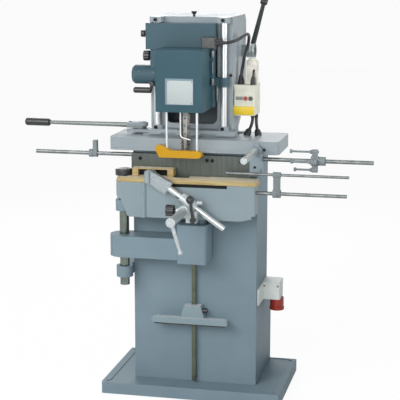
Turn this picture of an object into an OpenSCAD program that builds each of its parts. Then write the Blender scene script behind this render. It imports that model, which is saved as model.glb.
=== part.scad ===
// Floor-standing chain mortiser: hollow pedestal, cast bed, sliding head frame, plunging head
// with a mortising chain, swing-away work table with an articulated clamp, and length stops.
// Millimetres, +Z up, +X to the operator's right, the operator stands at -Y.
// The origin is on the floor, under the middle of the base.

/* [Base] */
// Width of the base
base_w = 728; // [650:1:850]
// Depth of the base
base_d = 459; // [459:1:560]
// Height of the base
base_h = 47; // [35:1:70]
// Wall and rib thickness of the base casting
base_wall = 10; // [6:0.5:16]
// Width of the raised border on the base
rim_w = 30; // [15:1:45]
// Height of the raised border
rim_h = 3; // [1:0.5:6]
// Diameter of the floor anchor holes
anchor_d = 16; // [10:0.5:22]
// Distance of the anchor holes from the edges
anchor_in = 24; // [18:1:40]

/* [Pedestal] */
// Width of the pedestal
ped_w = 500; // [460:1:560]
// Front face of the pedestal, ahead of the middle of the base
ped_front = 124; // [110:1:140]
// Rear face of the lower cabinet, behind the middle of the base
ped_back_low = 222; // [190:1:228]
// Rear face of the upper cabinet
ped_back = 113; // [90:1:150]
// Height at which the lower cabinet starts to slope in
ped_step_z = 330; // [250:1:420]
// Height of the sloping step
ped_slope = 62; // [30:1:100]
// Sheet thickness of the pedestal
sheet = 5; // [3:0.5:8]

/* [Bed] */
// Width of the bed
bed_w = 676; // [620:1:740]
// Underside of the bed above the floor
bed_z = 987; // [960:1:1010]
// Thickness of the bed
bed_h = 51; // [44:1:64]
// Front of the bed, ahead of the middle of the base
bed_front = 157; // [145:1:170]
// Rear of the bed
bed_back = 92; // [80:1:110]
// Corner radius of the bed
bed_r = 18; // [6:1:30]
// Rib and deck thickness of the bed casting
bed_wall = 12; // [8:0.5:18]
// Height of the ground ways on the bed
way_h = 6; // [3:0.5:10]
// Width of each ground way
way_w = 34; // [20:1:50]

/* [Fence and stop rods] */
// Thickness of the fence
fence_t = 26; // [20:1:30]
// Height of the fence
fence_h = 99; // [80:1:120]
// Gap between the fence and the bed
fence_drop = 12; // [6:1:20]
// Diameter of the stop rods
stop_d = 16; // [12:0.5:20]
// Length of the left stop rod outside the fence
stop_l_out = 399; // [300:1:460]
// Length of the right stop rod outside its bracket
stop_r_out = 426; // [380:1:480]
// Length of each stop rod in its socket
stop_in = 40; // [25:1:43]
// Width of the end bracket
brk_w = 44; // [36:1:56]
// Thickness of the end bracket's front plate
brk_t = 18; // [14:1:26]
// Height of the end bracket
brk_h = 115; // [100:1:130]
// Diameter of the forward bar
fbar_d = 27; // [20:0.5:32]
// Reach of the forward bar
fbar_l = 282; // [150:1:340]

/* [Carriage and head frame] */
// Rest position of the head across the bed
head_x = -32; // [-45:1:-10]
// Width of the head frame
frame_w = 330; // [324:1:352]
// Front of the head frame, ahead of the middle of the base
frame_front = 40; // [34:1:46]
// Rear of the head frame
frame_back = 235; // [225:1:250]
// Top of the head frame above the floor
frame_z = 1504; // [1500:1:1540]
// Wall of the head frame
frame_t = 6; // [4:0.5:9]
// Width of the opening in the head frame
port_w = 208; // [204:1:230]
// Underside of the opening above the bed
port_up = 46; // [42:1:60]
// Thickness of the carriage plate
car_t = 20; // [14:1:24]
// Running gap under the carriage
car_gap = 0.3; // [0.2:0.1:0.6]
// Diameter of the head columns
col_d = 26; // [22:0.5:30]
// Distance between the head columns
col_span = 269; // [262:1:274]
// Column axis ahead of the middle of the base
col_front = 62; // [58:0.5:68]

/* [Head] */
// Stroke of the head
stroke = 85; // [60:1:85]
// Clearance of a running fit, on the radius
run = 0.05; // [0.02:0.01:0.1]
// Front of the head casting, ahead of the columns
cast_f = 33; // [29:1:35]
// Height of the column sleeve on the right
sleeve_h2 = 34; // [24:1:44]
// Width of the chain hood
hood_w = 184; // [170:1:200]
// Depth of the chain hood
hood_d = 144; // [143:1:152]
// Height of the chain hood
hood_h = 237; // [225:1:250]
// Underside of the hood above the floor
hood_z = 1152; // [1150:1:1165]
// Sheet thickness of the hood
hood_t = 4; // [2:0.5:6]
// Diameter of the motor
motor_d = 150; // [130:1:154]
// Length of the motor body
motor_l = 156; // [120:1:165]
// Number of motor cooling fins
fins = 20; // [8:1:28]
// Diameter of the counterbalance drum
drum_d = 75; // [60:1:90]
// Length of the counterbalance drum
drum_l = 53; // [45:1:80]

/* [Chain] */
// Chain plane ahead of the middle of the base
chain_front = 190; // [186:0.5:196]
// Motor shaft above the floor
shaft_z = 1290; // [1285:1:1300]
// Lowest point of the chain above the floor
chain_tip = 978; // [974:1:990]
// Number of links
links = 60; // [56:2:64]
// Pin radius at the sprocket
pin_r_top = 20; // [17:0.5:22]
// Pin radius at the nose
pin_r_nose = 10; // [8:0.5:12]
// Thickness of one link plate
link_t = 3.2; // [2:0.1:4]
// Half height of a link plate
link_r = 3; // [2.5:0.1:3.5]
// Height of the cutting teeth over the plates
tooth_h = 3.2; // [1.5:0.1:4]
// Diameter of the chain rivets
rivet_d = 3; // [2:0.1:4]

/* [Feed drives] */
// Gear module of both racks
gear_m = 3; // [2.5:0.25:3]
// Teeth of the feed pinion
feed_teeth = 38; // [36:2:40]
// Teeth of the lateral pinion
side_teeth = 22; // [20:2:24]
// Diameter of the feed shaft
feed_d = 24; // [16:1:28]
// Feed shaft behind the middle of the base
feed_y = 155; // [152:1:165]
// Feed shaft above the floor
feed_z = 1360; // [1350:1:1370]
// Length of the feed lever
feed_l = 328; // [250:1:420]
// Backward lean of the feed lever at rest
feed_lean = 35; // [10:1:50]
// Outward splay of the feed lever
feed_splay = 8; // [0:1:12]
// Reach of the lateral lever
side_l = 491; // [350:1:560]
// Diameter of the lever rods inside the grips
tang_d = 12; // [8:0.5:13]
// Diameter of the lever grips
grip_d = 31; // [24:1:36]
// Length of the lever grips
grip_l = 107; // [80:1:130]

/* [Presser] */
// Distance between the presser rods
prod_span = 119; // [112:1:124]
// Diameter of the presser rods
prod_d = 10; // [8:0.5:14]
// Presser rods ahead of the middle of the base
prod_front = 225; // [222:0.5:227]
// Underside of the presser foot above the floor
foot_z = 977; // [972:1:985]
// Height of the presser foot
foot_h = 28; // [20:1:34]
// Length of the presser foot
foot_l = 181; // [170:1:190]

/* [Work table] */
// Hinge post, left of the pedestal's side
post_side = 22; // [18:1:30]
// Hinge post, ahead of the middle of the base
post_front = 185; // [184:1:190]
// Diameter of the hinge post
post_d = 38; // [30:1:44]
// Lower end of the hinge post
post_z = 450; // [420:1:470]
// Underside of the lower lug
lug_z = 484; // [476:1:490]
// Height of the lugs
lug_h = 44; // [30:1:46]
// Underside of the upper lug
lug2_z = 752; // [748:1:756]
// Radius of the lugs
lug_r = 33; // [26:1:34]
// Underside of the knee arm
knee_z = 572; // [568:1:580]
// Height of the knee arm
knee_h = 85; // [70:1:95]
// Radius of the knee's hinge boss
knee_r = 56; // [46:1:57]
// Width of the knee's centre box
box_w = 119; // [110:1:130]
// Left side of the centre box, left of the middle of the base
box_x = 44; // [40:1:50]
// Height of the centre box
box_h = 154; // [140:1:158]
// Top of the wooden table board above the floor
wood_z = 893.5; // [885:0.5:900]
// Diameter of the cap over the post
cap_d = 66; // [56:1:70]
// Height of the cap over the post
cap_h = 25; // [18:1:30]
// Thickness of the wooden board
wood_t = 18.5; // [14:0.5:24]
// Length of the wooden board
wood_l = 552; // [540:1:580]
// Front of the table, ahead of the middle of the base
tab_front = 236; // [230:1:238]
// Depth of the table
tab_d = 82; // [70:1:83]
// Height of the table's front apron
apron_h = 138; // [120:1:140]
// Thickness of the apron
apron_t = 12; // [8:0.5:13]
// Width of the chain relief in the table
relief_w = 140; // [132:1:150]
// Depth of the chain relief in the table
relief_d = 50; // [45:1:52]
// Diameter of the lift pillar
pillar_d = 30; // [24:1:34]

/* [Clamp] */
// Height of the clamp quill
quill_z = 783; // [780:1:790]
// Diameter of the clamp quill
quill_d = 24; // [18:1:26]
// Reach of the quill ahead of the apron
quill_out = 262; // [200:1:300]
// Diameter of the clamp bar
bar_d = 27; // [20:0.5:28]
// Length of the clamp bar
bar_l = 286; // [260:1:320]
// Slope of the clamp bar
bar_tilt = 34.7; // [30:0.1:38]
// Clamp bar ahead of the apron
bar_off = 33; // [33:0.5:36]
// Diameter of the ball knob
ball_d = 31; // [24:1:36]
// Length of the clamp shoe
shoe_l = 165; // [150:1:168]
// Height of the clamp shoe
shoe_h = 31; // [24:1:33]
// Thickness of the clamp shoe
shoe_t = 18; // [14:1:19]

/* [Stops and door rest] */
// Left stop from the end of the fence
lstop_x = 142; // [80:1:220]
// Turret stop from the end of the bracket
rstop_x = 217; // [190:1:240]
// Radius of the turret's screws about the rod
tur_r = 35; // [26:1:38]
// Diameter of the table's stop rail
rail_d = 14; // [10:0.5:18]
// Length of the table's stop rail
rail_l = 360; // [300:1:400]
// Diameter of the finger rod
fing_d = 11; // [8:0.5:13]
// Length of the finger rod
fing_l = 473; // [440:1:500]
// Height of the door rest
rest_z = 300; // [280:1:330]
// Length of the door rest's shelf
rest_l = 310; // [240:1:340]
// Width of the door rest's rail
rest_rail_w = 16; // [12:1:22]
// Thickness of the door rest's rail
rest_rail_t = 12; // [8:1:14]
// Stand-off of the rail from the pedestal
rest_off = 10; // [9:0.5:12]

/* [Electrics] */
// Width of the switch box
sw_w = 85; // [70:1:95]
// Depth of the switch box
sw_d = 120; // [80:1:130]
// Height of the switch box
sw_h = 120; // [100:1:130]
// Width of the power inlet
inlet_w = 73; // [60:1:84]
// Height of the power inlet
inlet_h = 72; // [60:1:84]
// Diameter of the inlet's sleeve
inlet_d = 56; // [48:1:62]
// Diameter of the machine's own cables
cable_d = 12.5; // [10:0.5:14]

/* [Hidden] */
$fn = 64;
// A small overlap that keeps cuts clean
e = 1;
// Clearance between pieces that pass each other
gap = 0.3;
bed_top = bed_z + bed_h;
bed_mid = (bed_back - bed_front) / 2;
way_top = bed_top + way_h;
// Stop rods run in the middle of the fence's thickness
fence_y = -ped_front - fence_t;
fence_top = bed_z - fence_drop;
stop_y = -ped_front - fence_t / 2;
stop_z = fence_top - stop_d / 2;
brk_x = ped_w / 2 - 21;
fbar_x = brk_x + brk_w - fbar_d / 2 - 4;
fbar_z = stop_z + 41;
brk_z = fbar_z + fbar_d / 2 - brk_h;
// Carriage and frame
car_z = way_top + car_gap;
car_top = car_z + car_t;
frame_l = head_x - frame_w / 2;
frame_r = head_x + frame_w / 2;
port_z = bed_top + port_up;
col_l = head_x - col_span / 2;
col_r = head_x + col_span / 2;
foot_w = 54;
// Head
hood_l = head_x - 3 - hood_w / 2;
plate_y = -frame_front - 8;
plate_f = -col_front - cast_f;
hood_back = plate_f - 1;
hood_front = hood_back - hood_d;
hood_top = hood_z + hood_h;
back_w = port_w - 6;
back_r = head_x + back_w / 2;
cast_l = col_l - col_d / 2 - 25;
low_l = cast_l + 16;
drum_z = hood_z + 125;
sleeve_z = hood_z + 85;
// Hinge of the hood, and the opening in its left wall through which it clears the presser
hinge_x = hood_l + hood_w + 9;
hinge_y = hood_back - 10;
outlet_w = hood_d - 54;
chain_x = head_x + 10;
up_z = hood_top - 11;
up_top = frame_z - 24;
// Chain: rivets run on two circles joined by their outer tangents
nose_z = chain_tip + pin_r_nose + link_r + tooth_h;
axis_d = shaft_z - nose_z;
lean = asin((pin_r_top - pin_r_nose) / axis_d);
run_l = axis_d * cos(lean);
arc_top = pin_r_top * (180 + 2 * lean) * PI / 180;
arc_nose = pin_r_nose * (180 - 2 * lean) * PI / 180;
loop_l = 2 * run_l + arc_top + arc_nose;
// Rivet position on the loop: down the right run, round the nose, up the left run, over the top
function rivet(s) =
  s < run_l ? let(t = s / run_l, r = pin_r_top + (pin_r_nose - pin_r_top) * t)
    [r * cos(lean), r * sin(lean) + axis_d * (1 - t)] :
  s < run_l + arc_nose ? let(a = lean - (s - run_l) / pin_r_nose * 180 / PI)
    [pin_r_nose * cos(a), pin_r_nose * sin(a)] :
  s < 2 * run_l + arc_nose ? let(t = (s - run_l - arc_nose) / run_l,
    r = pin_r_nose + (pin_r_top - pin_r_nose) * t)
    [-r * cos(lean), r * sin(lean) + axis_d * t] :
  let(a = 180 - lean - (s - 2 * run_l - arc_nose) / pin_r_top * 180 / PI)
    [pin_r_top * cos(a), axis_d + pin_r_top * sin(a)];
chain_t = 3 * link_t + 2 * gap;
pitch = loop_l / links;
// Clear radius inside the links where they go round
function inside(r) = r * cos(pitch / r * 90 / PI) - link_r - gap;
// Feed drive
feed_r = gear_m * feed_teeth / 2;
rack_y = feed_y - feed_r;
rack_x = head_x + port_w / 2 - 4;
rack_w = 20;
gear_p = gear_m * PI;
side_r = gear_m * side_teeth / 2;
side_x = frame_l - 48;
side_y = -20;
side_z = way_top + 1;
side_t = 12;
side_travel = 18;
side_rack_y = side_y - side_r;
plate_h = 22;
lever_z = side_z + side_t + plate_h / 2;
// Presser
prod_l = head_x + 4.5 - prod_span / 2;
prod_r = prod_l + prod_span;
guide_z = hood_z + 16;
guide_h = 20;
foot_d = 26;
foot_y = -prod_front - foot_d / 2 - 6;
finger_x = head_x - 5;
finger_y = -chain_front - 18;
// Table
post_x = ped_w / 2 + post_side;
px = -post_x;
py = -post_front;
board_z = wood_z - wood_t;
deck_t = 15;
apron_z = board_z - apron_h;
tab_y = -tab_front;
wood_x = px - 13;
apron_l = px - 1;
// Slanted corner cut from the apron in front of the post
notch_w = 30;
notch_h = 72;
apron_r = apron_l + 520;
relief_x = chain_x + 18 - relief_w / 2;
pillar_x = 45;
pillar_y = -195;
box_z = knee_z - 10;
box_front = -255;
box_back = -140;
// Clamp
quill_x = 0;
quill_y = tab_y - quill_out;
quill_back = -ped_front - 16;
bar_y = tab_y - bar_off;
// Front and length of the cross block on the quill
block_f = tab_y - 84;
block_l = 74;
// Middle of the clamp bar, beside the quill's axis
bar_x = 8;
bar_z = quill_z + quill_d / 2 + bar_d / 2 + 1.5;
bar_up = 115;
pin_x = bar_x - 158;
pin_z = wood_z + 12;
shoe_back = -ped_front - fence_t - 7;
shoe_x = pin_x - 84;
shoe_y = shoe_back - shoe_t - 11;
// Stops
lst_x = -ped_w / 2 - lstop_x;
tur_x = brk_x + brk_w + rstop_x;
rail_x = apron_r;
rail_y = -200;
rail_z = wood_z - 48;
fing_x = 141;
fing_z = wood_z + 25;
fork_x = rail_x + 77;
rest_y = -ped_front - rest_off - rest_rail_t;
rail_top = box_z - 8;
rail_bot = base_h + 5;
// Electrics
sw_y = -20;
sw_z = 1118;
inlet_y = 3;
inlet_d2 = 87;
inlet_z = 368;
in_x = ped_w / 2 + inlet_w - inlet_d / 2 + 10;
in_y = inlet_y + inlet_d2 / 2;
sleeve_h = 38;
lid_y = in_y + inlet_d / 2 + 7;
lid_z = inlet_z - sleeve_h;

// Cable routes, chosen by hand
motor_route = [[107, -118, 1409], [113, -118, 1409], [128, -115.5, 1411], [144, -108.5, 1414],
  [159.5, -94, 1419.5], [169.5, -76, 1425.5], [175, -60, 1430], [179.5, -39, 1434.5], [182.5, -17.5, 1437],
  [184, 0, 1436.5], [184, 21, 1431], [182, 39.5, 1419.5], [178, 52.5, 1403], [174, 58.5, 1387],
  [168, 60, 1366], [162.5, 55, 1345.5], [159.5, 49.5, 1329], [157.5, 42, 1309], [155.5, 35, 1288],
  [154.5, 30, 1271], [154, 27, 1257], [154, 27, 1250]];
cable_a = [[199, 40, 1106], [199, 40, 1100], [198.5, 39, 1092], [197.5, 35.5, 1082], [195.5, 30, 1072.5],
  [193, 23, 1064.5], [189.5, 12, 1055]];
cable_b = [[214, 40, 1106], [214, 40, 1100], [214.5, 39, 1092], [215.5, 35.5, 1082], [217.5, 30.5, 1072.5],
  [220, 23, 1064.5], [224, 12, 1055]];
gland_h = 12;
// Push buttons side by side on the switch box
button_d = 16;
stop_x = frame_r + sw_w * 0.56;
start_x = frame_r + sw_w * 0.8;
button_z = sw_z + 68;

// Shared shapes

// Rectangle with rounded corners, from its lower left corner
module rsq(w, d, r) {
  translate([r, 0]) square([w - 2 * r, d]);
  translate([0, r]) square([w, d - 2 * r]);
  for (x = [r, w - r], y = [r, d - r]) translate([x, y]) circle(r);
}

// Slab with rounded upright edges
module rbox(p, s, r) {
  translate(p) linear_extrude(s[2]) rsq(s[0], s[1], r);
}

module box(p, s) {
  translate(p) cube(s);
}

// Cylinder along X from p
module cx(p, d, l) {
  translate(p) rotate([0, 90, 0]) cylinder(d = d, h = l);
}

// Cylinder along +Y from p
module cy(p, d, l) {
  translate(p) rotate([-90, 0, 0]) cylinder(d = d, h = l);
}

module cz(p, d, l) {
  translate(p) cylinder(d = d, h = l);
}

// Profile in Y and Z, extruded along X
module yz(x, w) {
  translate([x, 0, 0]) rotate([90, 0, 90]) linear_extrude(w) children();
}

// Profile in X and Z, extruded from y towards -Y
module xz(y, t) {
  translate([0, y, 0]) rotate([90, 0, 0]) linear_extrude(t) children();
}

// Lever grip with rounded ends, along +Z from the origin
module grip(d, l, hole) {
  rotate_extrude() difference() {
    union() {
      translate([0, d * 0.3]) square([d * 0.5, l - d * 0.6]);
      square([d * 0.3, l]);
      translate([d * 0.2, d * 0.3]) circle(d * 0.3);
      translate([d * 0.2, l - d * 0.3]) circle(d * 0.3);
    }
    translate([-d, -e]) square([d, l + 2 * e]);
    translate([-e, -e]) square([hole / 2 + e, l * 0.7 + e]);
  }
}

// Ball knob with a flat foot, along +Z
module ball_knob(d) {
  difference() {
    translate([0, 0, d * 0.45]) sphere(d = d);
    translate([-d, -d, -2 * d]) cube([2 * d, 2 * d, 2 * d]);
  }
}

// Fluted star knob along +Z
module star_knob(d, h, n) {
  linear_extrude(h) difference() {
    circle(d / 2);
    for (i = [0 : n - 1]) rotate(i * 360 / n) translate([d * 0.56, 0]) circle(d * 0.12);
  }
}

// Spur gear in the plane, teeth slimmed for backlash
module gear(m, z) {
  r = m * z / 2;
  circle(r - 1.25 * m);
  for (i = [0 : z - 1]) rotate(i * 360 / z) polygon([[r - 1.5 * m, -1.05 * m], [r, -0.64 * m],
    [r + 0.8 * m, -0.3 * m], [r + 0.8 * m, 0.3 * m], [r, 0.64 * m], [r - 1.5 * m, 1.05 * m]]);
}

// Rack tooth, pointing along +Y of the plane, centred on x
module rack_tooth(m, x) {
  translate([x, 0]) polygon([[-1.05 * m, -1.5 * m], [-0.64 * m, 0], [-0.35 * m, 0.8 * m],
    [0.35 * m, 0.8 * m], [0.64 * m, 0], [1.05 * m, -1.5 * m]]);
}

// Tube along a list of points
function unit(v) = v / norm(v);
function way(p, i) = unit(p[min(i + 1, len(p) - 1)] - p[max(i - 1, 0)]);
function side_of(t) = unit(cross(t, abs(t[1]) > 0.9 ? [1, 0, 0] : [0, 1, 0]));
module tube(p, d, n) {
  ring = [for (i = [0 : len(p) - 1]) let(t = way(p, i), u = side_of(t), v = cross(t, u))
    for (k = [0 : n - 1]) p[i] + d / 2 * (cos(k * 360 / n) * u + sin(k * 360 / n) * v)];
  last = (len(p) - 1) * n;
  walls = [for (i = [0 : len(p) - 2], k = [0 : n - 1], h = [0, 1])
    h == 0 ? [i * n + k, i * n + (k + 1) % n, (i + 1) * n + (k + 1) % n] :
    [i * n + k, (i + 1) * n + (k + 1) % n, (i + 1) * n + k]];
  ends = [for (k = [1 : n - 2], h = [0, 1]) h == 0 ? [0, k + 1, k] : [last, last + k, last + k + 1]];
  polyhedron(ring, concat([for (f = walls) [f[0], f[2], f[1]]], [for (f = ends) [f[0], f[2], f[1]]]));
}

// Stand

// Ribbed base casting with a raised border and four anchor holes
module base_plate() color("lightsteelblue") {
  nx = 5;
  ny = 3;
  cw = (base_w - base_wall) / nx - base_wall;
  cd = (base_d - base_wall) / ny - base_wall;
  difference() {
    rbox([-base_w / 2, -base_d / 2, 0], [base_w, base_d, base_h], 8);
    box([-base_w / 2 + rim_w, -base_d / 2 + rim_w, base_h - rim_h],
      [base_w - 2 * rim_w, base_d / 2 - rim_w + ped_back_low + 1, rim_h + e]);
    for (i = [0 : nx - 1], j = [0 : ny - 1]) if (!((i == 0 || i == nx - 1) && (j == 0 || j == ny - 1)))
      box([-base_w / 2 + base_wall + i * (cw + base_wall), -base_d / 2 + base_wall
        + j * (cd + base_wall), -e], [cw, cd, base_h - rim_h - base_wall + e]);
    for (x = [-1, 1], y = [-1, 1]) translate([x * (base_w / 2 - anchor_in),
      y * (base_d / 2 - anchor_in), -e]) cylinder(d = anchor_d, h = base_h + 2 * e);
  }
}

module ped_outline(t) {
  polygon([[-ped_front + t, base_h - rim_h + t], [ped_back_low - t, base_h - rim_h + t],
    [ped_back_low - t, ped_step_z - t / 2], [ped_back - t, ped_step_z + ped_slope - t / 2],
    [ped_back - t, bed_z - t], [-ped_front + t, bed_z - t]]);
}

// Closed sheet-steel pedestal, stepped at the back
module pedestal() color("lightsteelblue") difference() {
  yz(-ped_w / 2, ped_w) ped_outline(0);
  yz(-ped_w / 2 + sheet, ped_w - 2 * sheet) ped_outline(sheet);
}

// Cast bed with ground ways, ribbed overhangs and the lateral lever's pivot stud
module bed() color("silver") {
  pocket_w = (bed_w - ped_w) / 2 - 2 * bed_wall;
  pocket_d = (bed_front + bed_back - 3 * bed_wall) / 2;
  difference() {
    union() {
      rbox([-bed_w / 2, -bed_front, bed_z], [bed_w, bed_front + bed_back, bed_h], bed_r);
      box([-bed_w / 2 + bed_r, -bed_front - 3, bed_z], [bed_w - 2 * bed_r, 6, 9]);
      for (y = [-col_front - way_w / 2, bed_back - 10 - way_w])
        box([frame_l - 25, y, bed_top - e], [frame_w + 50, way_w, way_h + e]);
    }
    for (x = [-bed_w / 2 + bed_wall, ped_w / 2 + bed_wall], j = [0, 1])
      box([x, -bed_front + bed_wall + j * (pocket_d + bed_wall), bed_z - e],
        [pocket_w, pocket_d, bed_h - bed_wall + e]);
  }
  cz([side_x, side_y, bed_top - e], 44, side_z - bed_top - gap + e);
  cz([side_x, side_y, bed_top - e], 20, lever_z + plate_h / 2 + 4 - bed_top + e);
  for (p = [cable_a, cable_b]) {
    t = p[6] - p[5];
    translate(p[6]) rotate([0, acos(t[2] / norm(t)), atan2(t[1], t[0])])
      translate([0, 0, gap]) cylinder(d = cable_d + 9, h = 38);
  }
}

// Machined fence with mounting holes and the left rod's socket
module fence() color("dimgray") difference() {
  box([-ped_w / 2, fence_y, fence_top - fence_h], [ped_w - 21, fence_t, fence_h]);
  cx([-ped_w / 2 - e, stop_y, stop_z], stop_d, stop_in + e);
  for (x = [-214, 55, 76, 190]) {
    cy([x, fence_y - e, fence_top - 20], 9, fence_t + 2 * e);
    cy([x, fence_y - e, fence_top - 20], 15, 9 + e);
  }
}

// Round rods for the length stops, left and right
module stop_rods() color("gray") {
  cx([-ped_w / 2 - stop_l_out, stop_y, stop_z], stop_d, stop_l_out + stop_in);
  cx([brk_x + brk_w - stop_in, stop_y, stop_z], stop_d, stop_r_out + stop_in);
}

// Bracket at the right end of the fence: a foot under the bed and a tapering front plate
module end_bracket() color("lightsteelblue") difference() {
  union() {
    box([brk_x, -bed_front - 4 - e, brk_z], [brk_w, bed_front + 4 + e - ped_front, bed_z - brk_z - gap]);
    xz(-bed_front - 4, brk_t) polygon([[brk_x, brk_z], [brk_x + brk_w - 12, brk_z],
      [brk_x + brk_w, brk_z + 30], [brk_x + brk_w, fbar_z], [fbar_x + 8, brk_z + brk_h + 4],
      [fbar_x - 12, brk_z + brk_h + 4], [brk_x, stop_z + 16]]);
    cy([fbar_x, -bed_front - 4 - brk_t - 14, fbar_z], fbar_d + 14, 14 + e);
  }
  cx([brk_x + brk_w - stop_in, stop_y, stop_z], stop_d, stop_in + e);
  cy([fbar_x, -bed_front - 4 - brk_t - 14 - e, fbar_z], fbar_d, brk_t + 14 + 2 * e);
  for (z = [stop_z - 27, stop_z - 52]) cy([brk_x + 20, -bed_front - 4 - brk_t - e, z], 11, 14 + e);
}

// Round bar that reaches forward from the bracket
module forward_bar() color("silver") difference() {
  cy([fbar_x, -bed_front - 4 - fbar_l, fbar_z], fbar_d, fbar_l);
  translate([fbar_x, -bed_front - 4 - fbar_l, fbar_z]) rotate([-90, 0, 0]) difference() {
    translate([0, 0, -e]) cylinder(d = fbar_d + 2, h = 2 + e);
    translate([0, 0, -e]) cylinder(d1 = fbar_d - 6, d2 = fbar_d, h = 2 + e);
  }
}

module hinge_post() color("silver") cz([px, py, post_z], post_d, board_z + 8 - post_z);

// Round cap on the board, hollow over the post
module post_cap() color("black") difference() {
  translate([px, py, wood_z]) rotate_extrude() {
    square([cap_d / 2, cap_h - 6]);
    square([cap_d / 2 - 6, cap_h]);
    translate([cap_d / 2 - 6, cap_h - 6]) circle(6);
  }
  cz([px, py, wood_z - 8], post_d + 2, cap_h + 2);
}

// Two lugs welded to the pedestal's left side, which hold the hinge post
module hinge_lugs() color("lightsteelblue") for (z = [lug_z, lug2_z]) difference() {
  translate([0, 0, z]) linear_extrude(lug_h) {
    translate([px, py]) circle(lug_r);
    translate([px - 16, py]) square([post_x - ped_w / 2 + 16, post_front - 50]);
  }
  cz([px, py, z - e], post_d, lug_h + 2 * e);
}

// Flat rail for the door rest, on two spacers
module rest_rail() color("lightsteelblue") {
  box([-rest_rail_w / 2, rest_y, rail_bot], [rest_rail_w, rest_rail_t, rail_top - rail_bot]);
  for (z = [rail_bot + 12, rail_top - 12]) {
    cy([0, rest_y + rest_rail_t - e, z], rest_rail_w, rest_off + e);
    translate([0, rest_y - 6, z]) rotate([-90, 0, 0]) cylinder(d = 14, h = 6 + e, $fn = 6);
  }
}

// Carriage and frame

// Base of the head frame: plate over the ways, column sockets and the lateral rack
module carriage() color("silver") {
  rack_h = 10;
  root = 1.25 * gear_m;
  reach = frame_l - side_x;
  rack_n = floor((reach - 3) / gear_p);
  difference() {
    union() {
      rbox([frame_l, -col_front - 33, car_z], [frame_w, col_front + 33 + bed_back, car_t], 6);
      rbox([frame_r - foot_w, -col_front - 33, car_z], [foot_w + 20, 70, car_t - 1], 6);
      for (x = [col_l, col_r]) {
        cz([x, -col_front, car_top - e], col_d + 16, 15 + e);
        cy([x, -col_front - col_d / 2 - 12, car_top + 7], 11, 8);
      }
    }
    for (x = [col_l, col_r]) cz([x, -col_front, car_top - 8], col_d, 40);
    for (x = [frame_l + foot_w, frame_r - foot_w - 60])
      box([x, -col_front - 33 - e, car_z - e], [60, 8 + e, 6 + e]);
    box([frame_l - e, side_rack_y - root, car_z - e], [11 + e, side_r + root + side_r + 6, car_t + 2 * e]);
  }
  translate([0, side_rack_y, side_z]) linear_extrude(side_t) {
    translate([frame_l - 2 * reach, -root - rack_h]) square([2 * reach + 8, rack_h]);
    for (i = [-rack_n : rack_n - 1]) rack_tooth(gear_m, side_x + gear_p * (i + 0.5));
  }
}

module frame_side(t) {
  polygon([[-frame_front + t, car_top + t], [bed_back - t / 2, car_top + t],
    [frame_back - 20 - t, 1150 + t / 2], [frame_back - t, 1186], [frame_back - t, frame_z - 26 - t / 2],
    [frame_back - 24 - t / 2, frame_z - t], [-frame_front + t, frame_z - t]]);
}

// Sheet-steel head frame, open at the front for the motor, with the column clamps on top
module head_frame() color("silver") difference() {
  union() {
    difference() {
      yz(frame_l, frame_w) frame_side(0);
      yz(frame_l + frame_t, frame_w - 2 * frame_t) frame_side(frame_t);
      xz(-frame_front + frame_t + e, frame_t + 2 * e) translate([head_x - port_w / 2, port_z])
        rsq(port_w, frame_z - 34 - port_z, 24);
    }
    for (x = [col_l, col_r]) rbox([x - 24, -col_front - 22, frame_z - 22],
      [48, 22 + col_front - frame_front + e, 22], 5);
    cx([frame_r - e, feed_y, feed_z], feed_d + 22, 20 + e);
  }
  for (x = [col_l, col_r]) {
    cz([x, -col_front, frame_z - 24], col_d, 26);
    cy([x, -col_front - 30, frame_z - 11], 9, 16);
  }
  cx([frame_l - e, feed_y, feed_z], feed_d + 2 * run, frame_w + 40);
}

module columns() color("gainsboro") for (x = [col_l, col_r])
  cz([x, -col_front, car_top - 8], col_d, frame_z - car_top + 8);

// Oil cup on top of the frame
module oil_cup() color("black") translate([head_x + 6, -20, frame_z]) rotate_extrude() {
  square([5, 8]);
  polygon([[0, 8], [5, 8], [11, 17], [11, 21], [0, 21]]);
}

// Switch box with cable glands above and below
module switch_box() color("cornsilk") {
  gland = motor_route[len(motor_route) - 1];
  difference() {
    rbox([frame_r, sw_y, sw_z], [sw_w, sw_d, sw_h], 5);
    for (x = [start_x, stop_x]) cy([x, sw_y - e, button_z], button_d + 2 * gap, 12 + e);
  }
  cz([gland[0], gland[1], sw_z + sw_h - e], cable_d * 1.7, gland_h + e);
  for (p = [cable_a[0], cable_b[0]]) cz([p[0], p[1], sw_z - gland_h], cable_d + 2, gland_h + e);
}

module start_button() color("black") cy([start_x, sw_y - 5, button_z], button_d, 10);

module stop_button() color("red") cy([stop_x, sw_y - 5, button_z], button_d, 10);

// Limit switch on the switch box, with a stepped round cap
module limit_switch() color("ivory") {
  x = frame_r + sw_w - 44;
  y = sw_y + 48;
  z = sw_z + sw_h;
  rbox([x, y, z], [44, 34, 78], 4);
  cz([x + 22, y + 17, z + 78 - e], 48, 15 + e);
  cz([x + 22, y + 17, z + 93 - e], 34, 8 + e);
  rbox([x + 10, y - 3, z + 16], [24, 4, 44], 1.5);
}

module motor_cable() color("black") tube(motor_route, cable_d, 10);

module switch_cables() color("black") {
  tube(cable_a, cable_d, 10);
  tube(cable_b, cable_d, 10);
}

// Feed and lateral drives

// Feed shaft with its pinion, hub and splayed lever rod
module feed_lever() color("slategray") {
  hub_x = frame_r + 20 + gap;
  cx([frame_l - 3, feed_y, feed_z], feed_d, hub_x - frame_l + 39);
  yz(rack_x - rack_w / 2, rack_w) translate([feed_y, feed_z]) gear(gear_m, feed_teeth);
  cx([hub_x, feed_y, feed_z], 54, 34);
  feed_arm() {
    cylinder(d1 = 22, d2 = 17, h = feed_l - grip_l);
    cylinder(d = tang_d, h = feed_l - grip_l * 0.4);
  }
}

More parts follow.
